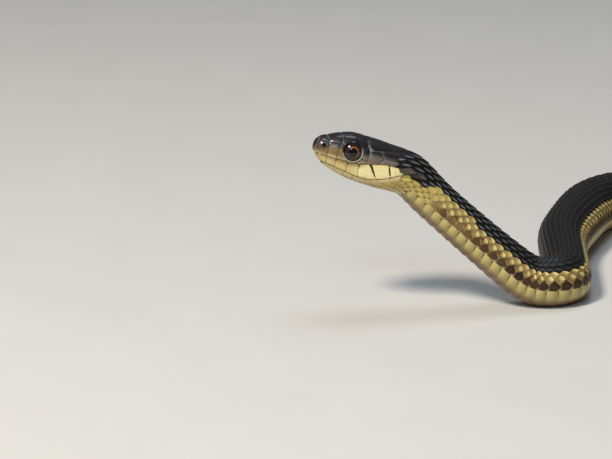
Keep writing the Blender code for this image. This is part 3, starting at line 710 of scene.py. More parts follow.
def crown_and_flank():
    """The paired shields over the lip by name: corners, colour and any special sizes of each."""
    return {
        "internasal": ([ROSTRAL_MID, ROSTRAL_SIDE, NASAL_TOP, NASAL_REAR, INTERNASAL_REAR], crown_colour, {}),
        "prefrontal": (
            [INTERNASAL_REAR, NASAL_REAR, PREFRONTAL_EDGE, PREFRONTAL_CORNER, FRONTAL_CORNER,
             PREFRONTAL_REAR],
            crown_colour, {}),
        "brow": (
            [FRONTAL_CORNER, PREFRONTAL_CORNER, crown(5.3, 3.3), crown(6.9, 3.6), crown(8.4, 3.55), BROW_REAR,
             FRONTAL_REAR, FRONTAL_SIDE],
            crown_colour, {"rise": 0.12, "puff": 0.06}),
        "parietal": (
            [FRONTAL_TIP, FRONTAL_REAR, BROW_REAR, PARIETAL_LOW, TEMPLE_REAR_TOP, TEMPLE_UPPER,
             TEMPLE_END_TOP, crown(16.7, 2.1), crown(17.5, 1.0), crown(17.3, 0.0)],
            crown_colour, {"puff": 0.08}),
        "nasal": (
            [ROSTRAL_SIDE, flank(0.07, 1.7), flank(0.0, 0.8),
             *even_curve(0.03, 2.3, lambda s: NASAL_LOWER_EDGE), NASAL_LOW, NASAL_REAR, NASAL_TOP],
            nasal_colour, {"nostril": True}),
        "loreal": (
            [flank(2.3, NASAL_LOWER_EDGE), NASAL_LOW, NASAL_REAR, PREFRONTAL_EDGE, LOREAL_TOP, LOREAL_LOW,
             flank(4.2, 0.1)],
            loreal_colour, {}),
        "preocular": (
            [LOREAL_LOW, LOREAL_TOP, PREFRONTAL_CORNER, flank(5.2, 3.5), flank(4.97, 2.0), flank(5.3, 1.0),
             flank(5.95, 0.5), flank(5.95, 0.2)],
            loreal_colour, {"puff": 0.08}),
        "lower postocular": (
            [flank(8.0, 0.25), flank(8.6, 0.9), flank(8.8, 1.32), POSTOCULAR_LOW, TEMPLE_FRONT_LOW,
             flank(8.7, 0.38)],
            postocular_colour, {}),
        "middle postocular": (
            [flank(8.6, 1.32), flank(8.7, 2.3), POSTOCULAR_HIGH, POSTOCULAR_LOW], postocular_colour, {}),
        "upper postocular": (
            [flank(8.6, 2.3), flank(8.4, 3.5), BROW_REAR, TEMPLE_FRONT_TOP, POSTOCULAR_HIGH],
            postocular_colour, {}),
        "front temporal": (
            [TEMPLE_FRONT_LOW, POSTOCULAR_LOW, POSTOCULAR_HIGH, TEMPLE_FRONT_TOP, PARIETAL_LOW,
             TEMPLE_REAR_TOP, TEMPLE_REAR_MID, TEMPLE_REAR_LOW, flank(10.65, 0.92)],
            temple_colour, {"puff": 0.14}),
        "upper temporal": (
            [TEMPLE_REAR_MID, TEMPLE_REAR_TOP, TEMPLE_UPPER, TEMPLE_END_TOP, flank(16.3, 3.4),
             TEMPLE_END_MID],
            temple_colour, {"puff": 0.14}),
        "lower temporal": (
            [TEMPLE_REAR_LOW, TEMPLE_REAR_MID, TEMPLE_END_MID, flank(16.5, 2.1), TEMPLE_END_LOW,
             flank(14.4, 1.68)],
            temple_colour, {"puff": 0.14}),
    }


def half_shields():
    """Every paired shield of the head."""
    made = list(crown_and_flank().values())
    upper_edges = list(zip(LABIAL_EDGES, LABIAL_TOP_EDGES))
    for (low_a, top_a), (low_b, top_b) in zip(upper_edges, upper_edges[1:]):
        corners = even_curve(low_a, low_b, lambda s: lip_height(s) + 0.01)
        corners += even_curve(top_b, top_a, labial_top)
        made.append((corners, upper_lip_colour, {"puff": 0.1, "sink": -0.02, "gap": 0.03}))
    for a, b in zip(LOWER_LABIAL_EDGES, LOWER_LABIAL_EDGES[1:]):
        corners = even_curve(a, b, lambda s: lip_height(s) - LIP_GAP)
        corners += even_curve(b, a, lambda s: lip_height(s) - LIP_GAP - LOWER_LABIAL_DEPTH)
        made.append((corners, lower_lip_colour, {"puff": 0.04, "sink": 0.0, "gap": 0.02}))
    for chin in (FRONT_CHIN, REAR_CHIN):
        made.append(([below(*place) for place in chin], lower_lip_colour, {}))
    return made


# The search for the snout's front: how far back it starts and how often it is halved
SNOUT_SEARCH_END = 4.0
SNOUT_HALVINGS = 40
# Points round the snout's own shield, its middle beside and above the spine, and its scale on the bake's map
SNOUT_TURNS = 96
SNOUT_MIDDLE = np.array([0.0, 0.75])
SNOUT_MAP = 0.008


def from_front(side, height):
    """s and phi of the snout's point that is seen from the front at this place beside and above the spine."""
    near, far = np.full(np.shape(side), SNOUT_TIP + 1e-4), np.full(np.shape(side), SNOUT_SEARCH_END)
    for _ in range(SNOUT_HALVINGS):
        s = (near + far) / 2
        above, beneath, width, middle, square_above, square_below = section(s)
        over = height >= middle
        reach, square = np.where(over, above, beneath), np.where(over, square_above, square_below)
        size = np.abs(side / width) ** square + np.abs((height - middle) / reach) ** square
        near, far = np.where(size > 1, s, near), np.where(size > 1, far, s)
    sine = np.clip(np.abs(side) / width, 0, 1) ** (square / 2)
    phi = np.degrees(np.arcsin(sine))
    return s, np.sign(side) * np.where(over, phi, 180 - phi)


def rostral(stock):
    """The shield that caps the tip of the snout, above the mouth."""
    turn = np.linspace(0, 360, SNOUT_TURNS, endpoint=False)
    side, height = side_and_height(along(ROSTRAL_EDGE, folded(turn)) - 0.5 * SUTURE, turn)
    outline = np.stack([side, np.maximum(height, lip_height(1.0) + LIP_GAP)], -1)
    side, height = rings_in(outline, SNOUT_MIDDLE, SNOUT_RINGS[:, None]).T
    s, phi = from_front(side, height)
    flat = on_skin(s, phi)
    edge = distance_to(flat, flat[:SNOUT_TURNS])
    lift = plate_lift(edge, SHIELD_RISE, SHIELD_PUFF, -0.1)
    tints = tinted(rostral_colour(s, phi, height, edge), 1 - ramp(0, 0.35, edge))
    bake = np.stack([0.95 + SNOUT_MAP * side, 0.5 + SNOUT_MAP * height], -1)
    stock.add(skin(s, phi, lift), tints, bake, *plate_faces(len(SNOUT_RINGS), SNOUT_TURNS))


def frontal_corners():
    """The single shield between the brows, its left half and then its right."""
    left = [PREFRONTAL_REAR, FRONTAL_CORNER, FRONTAL_SIDE, FRONTAL_REAR, FRONTAL_TIP]
    return left + [(s, -phi) for s, phi in left[-2:0:-1]]


def make_shields(finish):
    """All the plates of the head."""
    stock = Stock()
    rostral(stock)
    shield(stock, frontal_corners(), crown_colour, puff=0.06)
    shield(stock, [below(*place) for place in MENTAL], lower_lip_colour)
    for corners, colour, sizes in half_shields():
        for mirror in (1, -1):
            shield(stock, corners, colour, mirror=mirror, **sizes)
    stock.make("head_shields", finish)


# Scales of the back, sides and throat, with their grids from edge to edge and from front to tip
ACROSS = np.array([-1, -0.86, -0.6, -0.3, -0.1, 0, 0.1, 0.3, 0.6, 0.86, 1])
LENGTHWISE = np.array([-1, -0.6, -0.25, 0.05, 0.3, 0.5, 0.68, 0.83, 0.94, 1.0])


def leaf(u, tip):
    """Half width of a scale at u, from -1 at its sunken front to 1 at its free tip, as a share."""
    front = np.sqrt(np.clip(1 - (np.minimum(u + 0.1, 0) / 1.15) ** 2, 0, 1))
    rear = np.clip(1 - (np.maximum(u + 0.1, 0) / 1.1) ** tip, 0, 1)
    return front * (0.1 + 0.9 * rear ** (1.6 / tip))


def scale_forms(s, phi, length, width, drift, tip, keel, low, high):
    """Places, lifts and local measures of many scales at once. All but the grids are one number per scale."""
    u, v = np.meshgrid(LENGTHWISE, ACROSS, indexing="ij")
    tip, keel, low, high = (np.asarray(a, float)[:, None, None] for a in (tip, keel, low, high))
    half = leaf(u[None], tip)
    stations = s[:, None, None] + (u * (1 - 0.05 * v**2))[None] * length[:, None, None]
    angles = phi[:, None, None] + v[None] * half * width[:, None, None]
    angles = angles + drift[:, None, None] * (stations - s[:, None, None])
    lift = low + (high - low) * (u[None] + 1) / 2 + 0.045 * (1 - v[None] ** 2)
    lift = lift + keel * np.exp(-((v[None] * half / 0.1) ** 2)) * ramp(-0.9, -0.3, u)[None]
    return stations, angles, lift, u, v


def scale_rim(rows, columns):
    """Numbers of the grid's points along the free edge of a scale, from one side round the tip."""
    rim = [i * columns for i in range(2, rows - 1)]
    rim += [(rows - 1) * columns + j for j in range(columns)]
    return rim + [i * columns + columns - 1 for i in range(rows - 2, 1, -1)]


def lay_scales(stock, s, phi, length, width, drift, tip, keel, low, high, colour, spread, **extra):
    """Adds overlapping scales to a stock. spread is the stretch of s that the bake's map covers."""
    count = len(s)
    stations, angles, lift, u, v = scale_forms(s, phi, length, width, drift, tip, keel, low, high)
    near_edge = np.broadcast_to(np.maximum(ramp(0.6, 1.0, np.abs(v)), ramp(0.75, 1.0, u)), stations.shape)
    tints = tinted(colour(stations, angles, u, v, **extra), near_edge).reshape(count, -1, 4)
    rim = scale_rim(*u.shape)
    rim_s, rim_phi, rim_lift = (grid.reshape(count, -1)[:, rim] for grid in (stations, angles, lift))
    top = skin(stations, angles, lift).reshape(count, -1, 3)
    points = np.concatenate([top, top[:, rim], skin(rim_s, rim_phi, rim_lift - SCALE_EDGE_DEPTH)], 1)
    tints = np.concatenate([tints, tints[:, rim], tints[:, rim]], 1)
    start = (s - spread[0]) / (spread[1] - spread[0])
    root = np.stack([0.01 + 0.98 * start, 0.01 + 0.98 * ((phi / 360) % 1.0)], -1)
    local = np.stack([u, v], -1).reshape(-1, 2)
    local = np.concatenate([local, local[rim], local[rim]])
    places = root[:, None] + 0.0015 * local[None]
    quads = np.concatenate([grid_quads(*u.shape), skirt_quads(u.size, len(rim))[:, ::-1]])
    stock.add(points, tints, places, repeated(quads, count, points.shape[1]))


def row_weights(s):
    """The span of every row at s, from the belly up, as rows end along the body."""
    spans = np.array(ROW_SPANS)[:, None] * np.ones_like(s)[None]
    spans[-1] *= 0.5
    for row, end in ROW_ENDS:
        spans[row - 1] *= ease(end + 3, end - 4, s)
    return spans


def belly_edge(s):
    """phi of the edge of the belly scutes."""
    back_from_throat = (BELLY_EDGE - BELLY_EDGE_AT_THROAT) * ease(26, 46, s)
    return BELLY_EDGE_AT_THROAT + back_from_throat - 2 * ease(345, 360, s)


def row_middle(row, s):
    """phi of the middle of a row on the left at s, and half its width in degrees."""
    spans = row_weights(s)
    spans = spans / spans.sum(0) * belly_edge(s)
    if row == ROWS:
        return np.zeros_like(s), spans[-1]
    low_side = spans[: row - 1].sum(0)
    return belly_edge(s) - low_side - spans[row - 1] / 2, spans[row - 1] / 2


def row_start(phi):
    """s where the rows of the neck begin behind the head's shields."""
    return np.interp(phi, *np.array(ROW_STARTS).T)


# Steps of scales on the neck that lie ahead of the first belly scute
EDGES_BEFORE_SCUTES = 3


def scale_stations():
    """Edges of the steps that every row's scales are laid on, along the whole body."""
    body = scute_edges(HEAD_END, VENT_AT, VENTRALS)
    tail = scute_edges(VENT_AT, BODY_END, SUBCAUDALS)
    first = body[0] - (body[1] - body[0]) * np.arange(EDGES_BEFORE_SCUTES, 0, -1)
    return np.concatenate([first, body, tail[1:]])


def dark_scale(s, u, across, tone):
    """Near black, with painted shade at the base where the tip of the scale ahead lies, a painted highlight
    along the rim of the tip and a dash of painted sheen on the keel, both highlights stronger near the head.
    """
    near_head = ease(60, 30, s)
    colour = blend(BACK_BLACK, BACK_BROWN, 0.2 + 0.6 * tone + 0 * s)
    # Painted shade at the base of each scale, under the tip of the scale ahead
    colour = colour * (1 - 0.6 * ramp(0.45, 0.05, u))[..., None]
    # Painted highlight along the rim of the tip, stronger near the head
    colour = blend(colour, BACK_TIP_SHEEN, (0.3 + 0.4 * near_head) * ramp(0.8, 0.97, u))
    # Painted sheen on the keel, stronger near the head
    keel = ramp(0.34, 0.08, across) * ramp(0.15, 0.45, u) * ramp(0.97, 0.8, u)
    return blend(colour, KEEL_SHEEN, keel * (0.1 + 0.7 * near_head))


def spotted_scale(yellow, s, u, v, spotted, tone):
    """Yellow with a dark brown spot, as the lowest row has."""
    spot = np.hypot((u - 0.4) / 0.62, v / 0.95)
    colour = blend(yellow, STRIPE_BROWN, spotted * ramp(1.25, 0.95, spot))
    darkness = spotted * (0.35 + 0.65 * ease(28, 50, s))
    colour = blend(colour, SPOT_BROWN, darkness * ramp(1.1, 0.85, spot))
    return blend(colour, STRIPE_BROWN, spotted * 0.5 * tone * ramp(0.55, 0.2, spot))


def back_scale_colour(s, phi, u, v, row=None, middle=None, turn=None, luck=None, tone=None):
    """Black on the back. On the side yellow, with brown at the base that is partly the scales' own colour and
    partly painted shade, and painted shade along the lower edge, over a row of dark spots.
    """
    row, luck, tone = (value[:, None, None] for value in (row, luck, tone))
    u, v = u[None], v[None]
    across = np.abs(v) + 0 * s
    yellow = stripe_yellow(s) * (1 - 0.2 * tone)[..., None]
    spotted = ease(20, 30, s) * (0.75 + 0.25 * luck)
    lowest = spotted_scale(yellow, s, u, v, spotted, tone)
    lower = v * np.where(turn < 0, -1, 1)[:, None, None]
    # Brown at each scale's base: partly its own dark base, partly painted shade where the scale ahead covers
    # it
    base_brown_and_shade = ramp(0.76, 0.3, u + 0.15 * across)
    # Painted shade: brown along each scale's lower edge, as if lit from above
    painted_underside_shade = 0.9 * ramp(-0.1, 0.5, lower) * ramp(1.0, 0.9, across)
    brown = np.where(row == 2, 1.0, 0.85) * spotted * np.maximum(base_brown_and_shade, painted_underside_shade)
    upper = blend(yellow, STRIPE_BROWN, brown)
    colour = np.where((row == 1)[..., None], lowest, upper)
    # Dark rims: partly the dark skin between scales, partly painted shade along the free edges
    colour = blend(colour, SCALE_GAP, 0.5 * ramp(0.82, 1.0, np.maximum(across, u)))
    on_back = np.abs(turn) < stripe_edge(middle)
    colour = np.where(on_back[:, None, None, None], dark_scale(s, u, across, tone), colour)
    patch = (ramp(64, 70, np.abs(turn)) * ramp(20.6, 19.2, middle))[:, None, None]
    grey = TEMPLE_GREY * (0.6 + 0.7 * tone)[..., None]
    return blend(colour, grey, 0.8 * patch * ramp(1.0, 0.8, across))


# Height of the keel on the two lowest rows. The others have the full keel.
KEELS = {1: 0.0, 2: 0.035}
FULL_KEEL = 0.08
BLUNT_TIP, POINTED_TIP = 2.8, 2.0
# The distance that a row's slant is taken over, and the length of the tail tip without scales
SLANT_STEP = 0.5
BARE_TIP = 1.2
# Stretches of the body by the number of the scute that each ends at
LENGTHS = (("neck", 14), ("body_1", 36), ("body_2", 58), ("body_3", 80), ("body_4", 102), ("body_5", 124),
           ("body_6", 146), ("tail_base", 181), ("tail_tip", 216))


def row_of_scales(row, mirror, rng):
    """A table of one row's scales: s, phi, length, width, drift, keel, tip, row and two random numbers."""
    edges = scale_stations()
    step = np.gradient(edges)
    middles = edges + step * (0.5 if row % 2 else 0.0)
    phi, half = row_middle(row, middles)
    drift = mirror * (row_middle(row, middles + SLANT_STEP)[0] - phi) / SLANT_STEP
    row_end = min(dict(ROW_ENDS).get(row, BODY_END), BODY_END - BARE_TIP)
    keep = (middles > row_start(phi)) & (middles < row_end)
    keel = KEELS.get(row, FULL_KEEL) * np.minimum(1, half / 5)
    columns = [column[keep] for column in (middles, mirror * phi, 0.86 * step, 1.66 * half, drift, keel)]
    count = int(keep.sum())
    tip = np.full(count, BLUNT_TIP if row < 4 else POINTED_TIP)
    return np.stack([*columns, tip, np.full(count, float(row)), *rng.random((2, count))], 1)


def make_back_scales(finish):
    """Keeled, overlapping scales in rows all along the body, one piece for each stretch of it."""
    rng = np.random.default_rng(19)
    rows = [(row, mirror) for row in range(1, ROWS + 1) for mirror in ((1, -1) if row < ROWS else (1,))]
    table = np.concatenate([row_of_scales(row, mirror, rng) for row, mirror in rows])
    scutes = scale_stations()[EDGES_BEFORE_SCUTES:]
    bounds = [0.0] + [scutes[count] for _, count in LENGTHS]
    for (name, _), start, end in zip(LENGTHS, bounds, bounds[1:]):
        part = table[(table[:, 0] >= start) & (table[:, 0] < end)]
        s, phi, length, width, drift, keel, tip, row, luck, tone = part.T
        size = np.minimum(1.0, along(RADIUS, s) / 3.5)
        stock = Stock()
        lay_scales(stock, s, phi, length, width, drift, tip, keel * size, SCALE_LOW * size, SCALE_HIGH * size,
                   back_scale_colour, (start, end), row=row, middle=s, turn=phi, luck=luck, tone=tone)
        stock.make(f"{name}_scales", finish)


def throat_scale_colour(s, phi, u, v, tone=None):
    """Cream to yellow, with a faint brown line round each scale, partly the dark skin between scales and
    partly painted shade at the edges.
    """
    base = blend(CHIN_CREAM, THROAT_YELLOW, ramp(150, 120, np.abs(phi)) * ramp(9, 16, s))
    base = base * (1 - 0.15 * tone[:, None, None])[..., None]
    # The brown edge line: partly the dark skin between scales, partly painted shade
    edge = ramp(0.6, 1.0, np.maximum(np.abs(v), u))[None] * (0.35 + 0.45 * ramp(14, 20, s))
    return blend(base, BELLY_MARK, edge)


THROAT_ROWS = 9
THROAT_STEP = 1.9
# The first s of the throat's scales, an s past the last, and phi of their upper edge behind the jaw
THROAT_START, THROAT_STOP = 2.9, 24.2
THROAT_TOP = 94.0
# Pairs of s and how far the chin shields reach from the middle of the throat, in degrees
CHIN_SHIELD_EDGE = ((3.2, 12), (4.8, 24), (7.0, 20), (9.4, 26), (12.0, 22), (12.8, 0))
# Pairs of phi and the s where the throat's scales end
THROAT_END = ((90, 22.6), (120, 23.4), (130, 19.9), (180, 19.7))


def make_throat_scales(finish):
    """Long smooth scales from the lower lip and chin back to the belly scutes and the neck's rows."""
    rng = np.random.default_rng(7)
    gathered = []
    for k in range(THROAT_ROWS):
        stations = np.arange(THROAT_START, THROAT_STOP, THROAT_STEP)
        stations = stations + (THROAT_STEP / 2 if k % 2 else 0.0)
        lip = angle_from_height(stations, lip_height(stations) - LIP_GAP - LOWER_LABIAL_DEPTH)
        top = lip + (THROAT_TOP - lip) * ease(15.5, 18.5, stations)
        phi = top + (180 - top) * ((k + 0.5) / THROAT_ROWS)
        width = (180 - top) / THROAT_ROWS
        shield_edge = 180 - np.interp(stations, *np.array(CHIN_SHIELD_EDGE).T)
        rear = np.interp(phi, *np.array(THROAT_END).T)
        keep = (phi < shield_edge + 4) & (stations < rear) & (width > 4)
        drift = np.gradient(phi, stations)
        for mirror in (1, -1):
            columns = (stations, mirror * phi, 0.9 * THROAT_STEP + 0 * phi, 0.9 * width, mirror * drift)
            gathered.append(np.stack([*(column[keep] for column in columns), rng.random(keep.sum())], 1))
    s, phi, length, width, drift, tone = np.concatenate(gathered).T
    stock = Stock()
    flat = np.ones_like(s)
    lay_scales(stock, s, phi, length, width, drift, 2.3 * flat, 0 * flat, -0.2 * flat, 0.03 * flat,
               throat_scale_colour, (0.0, 24.0), tone=tone)
    stock.make("throat_scales", finish)


# Belly scutes
def belly_colour(s, phi, u, v):
    """Cream, browner along the middle, partly its own colour and partly painted shade of the underside;
    painted shade over each scute's rear, a dark line behind the edge of the scute ahead that is partly seam
    and partly painted shadow, and marks at its front outer corners.
    """
    base = blend(BELLY_CREAM, BELLY_GREY_AND_SHADE, ramp(142, 168, folded(phi)))
    # Painted shade over the rear of each scute
    base = base * (1 - 0.38 * ramp(-0.1, 0.85, u) * ramp(1.0, 0.94, u))[..., None]
    # Dark line behind the edge of the scute ahead: partly the seam, partly painted shadow
    line = ramp(-0.46, -0.61, u) * (0.6 + 0.3 * ramp(0.5, 0.85, np.abs(v)))
    corner = ramp(-0.15, -0.5, u) * ramp(0.78, 0.88, np.abs(v)) * ramp(34, 26, s)
    return blend(base, BELLY_MARK, np.maximum(line, corner) * np.ones_like(s))


SCUTE_LENGTHWISE = np.array([-1, -0.74, -0.6, -0.47, -0.1, 0.35, 0.7, 0.88, 0.97, 1.0])
# Start and width of the stretch of phi that the bake's map covers
SCUTE_MAP = (100, 160)
# Points across a scute, its rise over the skin, and how far its ends reach in under the lowest scales
SCUTE_COLUMNS, TAIL_SCUTE_COLUMNS = 29, 13
SCUTE_RISE, TAIL_SCUTE_RISE = 0.15, 0.1
SCUTE_TUCK = 4
# The stretches of phi that the left and the right scutes of the tail cover
TAIL_SCUTES = ((116, 181), (179, 244))


def lay_scutes(stock, edges, low_turn, high_turn, columns, spread, rise):
    """Plates across the belly between two turns, the rear edge of each lying over the next one's front."""
    u, v = np.meshgrid(SCUTE_LENGTHWISE, np.linspace(-1, 1, columns), indexing="ij")
    along_scute = (u + 1) / 2
    front, step = edges[:-1, None, None], np.diff(edges)[:, None, None]
    count = len(front)
    bow = 0.1 * (1 - v**2) - 0.1 * v**6
    s = front + (along_scute * (1 + SCUTE_OVERLAP) + bow * along_scute)[None] * step
    half = (high_turn - low_turn) / 2
    phi = ((low_turn + high_turn) / 2 + v * half * (1 - 0.008 * (u + 1) ** 3))[None] * np.ones_like(s)
    lift = -SCUTE_SINK + (rise + SCUTE_SINK) * along_scute ** 0.8 + 0.02 * np.sin(np.pi * along_scute)
    lift = (lift - 0.12 * ramp(0.86, 1.0, np.abs(v)))[None] * np.ones_like(s)
    edge = np.broadcast_to(ramp(0.8, 1.0, u)[None], s.shape)
    tints = tinted(belly_colour(s, phi, u[None], v[None]), edge)
    top = skin(s, phi, lift)
    under = skin(s[:, -1], phi[:, -1], lift[:, -1] - SCUTE_EDGE_DEPTH)
    first_phi, width_phi = SCUTE_MAP
    across = 0.01 + 0.98 * (phi % 360 - first_phi) / width_phi
    lengthwise = (front + along_scute[None] * 0.98 * step - spread[0]) / (spread[1] - spread[0])
    places = np.stack([np.broadcast_to(0.005 + 0.99 * lengthwise, s.shape), across], -1)
    points = np.concatenate([top.reshape(count, -1, 3), top[:, -1], under], 1)
    tints, places = (np.concatenate([grid.reshape(count, u.size, -1), grid[:, -1], grid[:, -1]], 1)
                     for grid in (tints, places))
    quads = np.concatenate([grid_quads(*u.shape), skirt_quads(u.size, columns)])
    stock.add(points, tints, places, repeated(quads, count, points.shape[1]))


def make_scutes(finish):
    """One scute across the belly for each step of the body, and pairs of them under the tail."""
    stock = Stock()
    body = scute_edges(HEAD_END, VENT_AT, VENTRALS)
    low_turn = BELLY_EDGE - SCUTE_TUCK
    lay_scutes(stock, body, low_turn, 360 - low_turn, SCUTE_COLUMNS, (HEAD_END, VENT_AT), SCUTE_RISE)
    stock.make("belly_scutes", finish)
    stock = Stock()
    tail = scute_edges(VENT_AT, BODY_END, SUBCAUDALS)[:-1]
    for turns in TAIL_SCUTES:
        lay_scutes(stock, tail, *turns, TAIL_SCUTE_COLUMNS, (VENT_AT, BODY_END), TAIL_SCUTE_RISE)
    stock.make("tail_scutes", finish)


# Skin
def skin_sink(s, phi):
    """How far the skin lies from the solids' surface, with the share of the mouth line and the height."""
    turn = folded(phi)
    lift = SKIN_UNDER_SHIELDS + (SKIN_UNDER_SCALES - SKIN_UNDER_SHIELDS) * ramp(15.5, 17.5, s)
    height = side_and_height(s, turn)[1]
    points = on_skin(s, turn)
    mouth = ramp(0.22, 0.05, np.abs(height - lip_height(s) + 0.03))
    mouth = mouth * ramp(MOUTH_CORNER, MOUTH_CORNER - 0.6, s)
    lift = lift - 0.3 * mouth * ramp(0.9, 1.3, s) * (turn > 60)
    eye = np.linalg.norm(points - on_skin(*EYE_AT), axis=-1)
    lift = lift - 1.3 * ramp(EYE_OPENING + 0.1, EYE_OPENING - 0.35, eye)
    lift = lift - jaw_tuck(s, height) * (turn > 60)
    return lift + np.where(s < 4, hollow(points), 0), mouth, height


def skin_colour(s, phi, mouth, height):
    """The colour between the scales, from pale lines on the crown to yellow and cream below, with a dark
    mouth line that is partly its own colour and partly painted shade in the groove.
    """
    pale_from = 1.9 - 1.4 * ramp(2.2, 1.2, s)
    head = blend(LIP_SHADE * 0.4, SUTURE_GREY * 0.6, ramp(pale_from, pale_from + 0.6, height))
    head = blend(head, CHIN_CREAM * 0.7, ramp(-0.2, -1.6, height - lip_height(s) - 0.4))
    body = blend(side_colour(s, phi), SCALE_GAP, 0.8 * ramp(20, 26, s) + 0.1)
    colour = blend(head, body, ramp(15.0, 15.6, s))
    # Dark mouth line, partly painted shade in the groove
    return blend(colour, MOUTH_DARK_AND_SHADE, mouth)


# Stretches of the skin, each with its stations and how many points go round it
SKIN_STRETCHES = (
    (np.concatenate([SNOUT_TIP + np.array([0.004, 0.02, 0.06, 0.12]), np.arange(0.0, 20.1, 0.15)]), 144),
    (np.arange(20.25, 40.1, 0.4), 72),
    (np.append(np.arange(41.0, 454.6, 1.0), 454.7), 36),
)
# Strips side by side on the bake's map that the length of the skin is cut into
SKIN_STRIPS = 5


def skin_seam(before, after, columns):
    """Triangles between a ring that starts at before and one of half as many points that starts at after."""
    k = np.arange(columns)
    a, b, c = (before + (2 * k + ahead) % (2 * columns) for ahead in (0, 1, 2))
    d, e = after + k, after + (k + 1) % columns
    return [np.stack([a, d, b], -1), np.stack([b, d, e], -1), np.stack([b, e, c], -1)]


def skin_map(s, phi):
    """Places on the bake's map."""
    strip = s / (BODY_END + 1) * (SKIN_STRIPS - 0.001)
    across = (strip.astype(int) + 0.05 + 0.9 * phi / 360) / SKIN_STRIPS
    return np.stack([0.01 + 0.98 * (strip % 1), across], -1)


def make_skin(finish):
    """One skin from snout to tail tip, finer on the head, under all the shields and scales."""
    points, tints, bake, quads, tris = [], [], [], [], []
    count = 0
    for stations, columns in SKIN_STRETCHES:
        s, phi = np.meshgrid(stations, np.arange(columns) * 360 / columns, indexing="ij")
        lift, mouth, height = skin_sink(s, phi)
        lift = lift * np.minimum(1.0, along(RADIUS, s) / 1.5)
        points.append(skin(s, phi, lift).reshape(-1, 3))
        tints.append(tinted(skin_colour(s, phi, mouth, height), 0.0).reshape(-1, 4))
        bake.append(skin_map(s, phi).reshape(-1, 2))
        quads.append(grid_quads(len(stations), columns, wrap=True) + count)
        if count:
            tris += skin_seam(last_ring, count, columns)
        count += s.size
        last_ring = count - columns
    tip = on_skin(np.array([SNOUT_TIP]), np.array([0.0]))
    end = on_skin(np.array([BODY_END - 0.05]), np.array([0.0])) - np.array([[0, 0, 0.2]])
    points += [tip, end]
    tints += [tints[0][:1], tints[-1][-1:]]
    bake += [bake[0][:1], bake[-1][-1:]]
    first = np.arange(SKIN_STRETCHES[0][1])
    tris += [fan(first, count, outward=True), fan(np.arange(last_ring, count), count + 1)]
    stock = Stock()
    stock.add(*(np.concatenate(gathered) for gathered in (points, tints, bake, quads, tris)))
    nodes = ["head", "lower_jaw"] + [name for name, _ in LENGTHS]
    stock.make("snake_skin", finish, nodes)


# Eyes
EYE_REACH = 2.05
EYE_TURNS, EYE_RINGS = 64, 20
# The back of the eyeball, hidden in the head: distances from its axis and how far behind the front's edge
EYE_BACK = np.array([1.9, 1.4, 0.7])
EYE_BACK_DEPTH = np.array([0.35, 0.6, 0.75])
RIM_TURNS, RIM_SIDES = 72, 10


def eye_profile():
    """Distances from the eye's axis and heights along it, from the front's middle round to the back."""
    radius = (EYE_RADIUS**2 + EYE_BULGE**2) / (2 * EYE_BULGE)
    far = np.linspace(0.0, EYE_REACH, EYE_RINGS)[1:]
    rise = np.sqrt(radius**2 - far**2) - (radius - EYE_BULGE)
    return np.concatenate([far, EYE_BACK]), np.concatenate([rise, rise[-1] - EYE_BACK_DEPTH])


def make_eye(name, mirror, finish, node):
    """A lens-shaped eyeball. Its tint holds the distance from the pupil's middle and the turn round it."""
    far, rise = eye_profile()
    rows = len(far)
    centre = skin(EYE_S, mirror * EYE_AT[1])
    _, tail, _, left = spine_at(EYE_S)
    out = 0.5 * (skin(EYE_S, mirror * EYE_AT[1], 1.0) - centre) + 0.5 * mirror * left
    out /= np.linalg.norm(out)
    across = tail - out * (tail @ out)
    across /= np.linalg.norm(across)
    upward = np.cross(out, across) * mirror
    angle = np.linspace(0, 2 * np.pi, EYE_TURNS, endpoint=False)
    ring = np.cos(angle)[:, None] * across + np.sin(angle)[:, None] * upward
    points = centre + far[:, None, None] * ring[None] + rise[:, None, None] * out
    pole, base = centre + EYE_BULGE * out, centre + (rise[-1] - 0.05) * out
    points = np.concatenate([points.reshape(-1, 3), pole[None], base[None]])
    measure = np.concatenate([np.repeat(far, EYE_TURNS), [0.0, 0.0]])
    spin = np.concatenate([np.tile(angle, rows), [0.0, 0.0]])
    round_it = np.stack([np.cos(spin), np.sin(spin)], -1)
    tints = np.column_stack([measure / 2, 0.5 + 0.5 * round_it, np.ones_like(spin)])
    bake = 0.5 + 0.22 * (measure[:, None] * round_it)
    bake[(rows - len(EYE_BACK)) * EYE_TURNS:-2] = 0.02
    quads = grid_quads(rows, EYE_TURNS, wrap=True)
    first, last = np.arange(EYE_TURNS), (rows - 1) * EYE_TURNS + np.arange(EYE_TURNS)
    tris = np.concatenate([fan(first, rows * EYE_TURNS, outward=True), fan(last, rows * EYE_TURNS + 1)])
    if mirror > 0:
        quads, tris = quads[:, ::-1], tris[:, ::-1]
    stock = Stock()
    stock.add(points, tints, bake, quads, tris)
    stock.make(name, finish, (node,))


def eye_outline():
    """A circle of places on the left eye's edge, and its turns in radians."""
    turn = np.linspace(0, 2 * np.pi, RIM_TURNS, endpoint=False)
    s = EYE_S + EYE_OPENING * np.cos(turn)
    outline = np.stack([s, angle_from_height(s, EYE_UP + 1.02 * EYE_OPENING * np.sin(turn))], -1)
    for _ in range(4):
        far = np.linalg.norm(on_skin(*outline.T) - on_skin(*EYE_AT), axis=1)
        outline = EYE_AT + (outline - EYE_AT) * ((EYE_OPENING - 0.02) / far)[:, None]
    return outline, turn


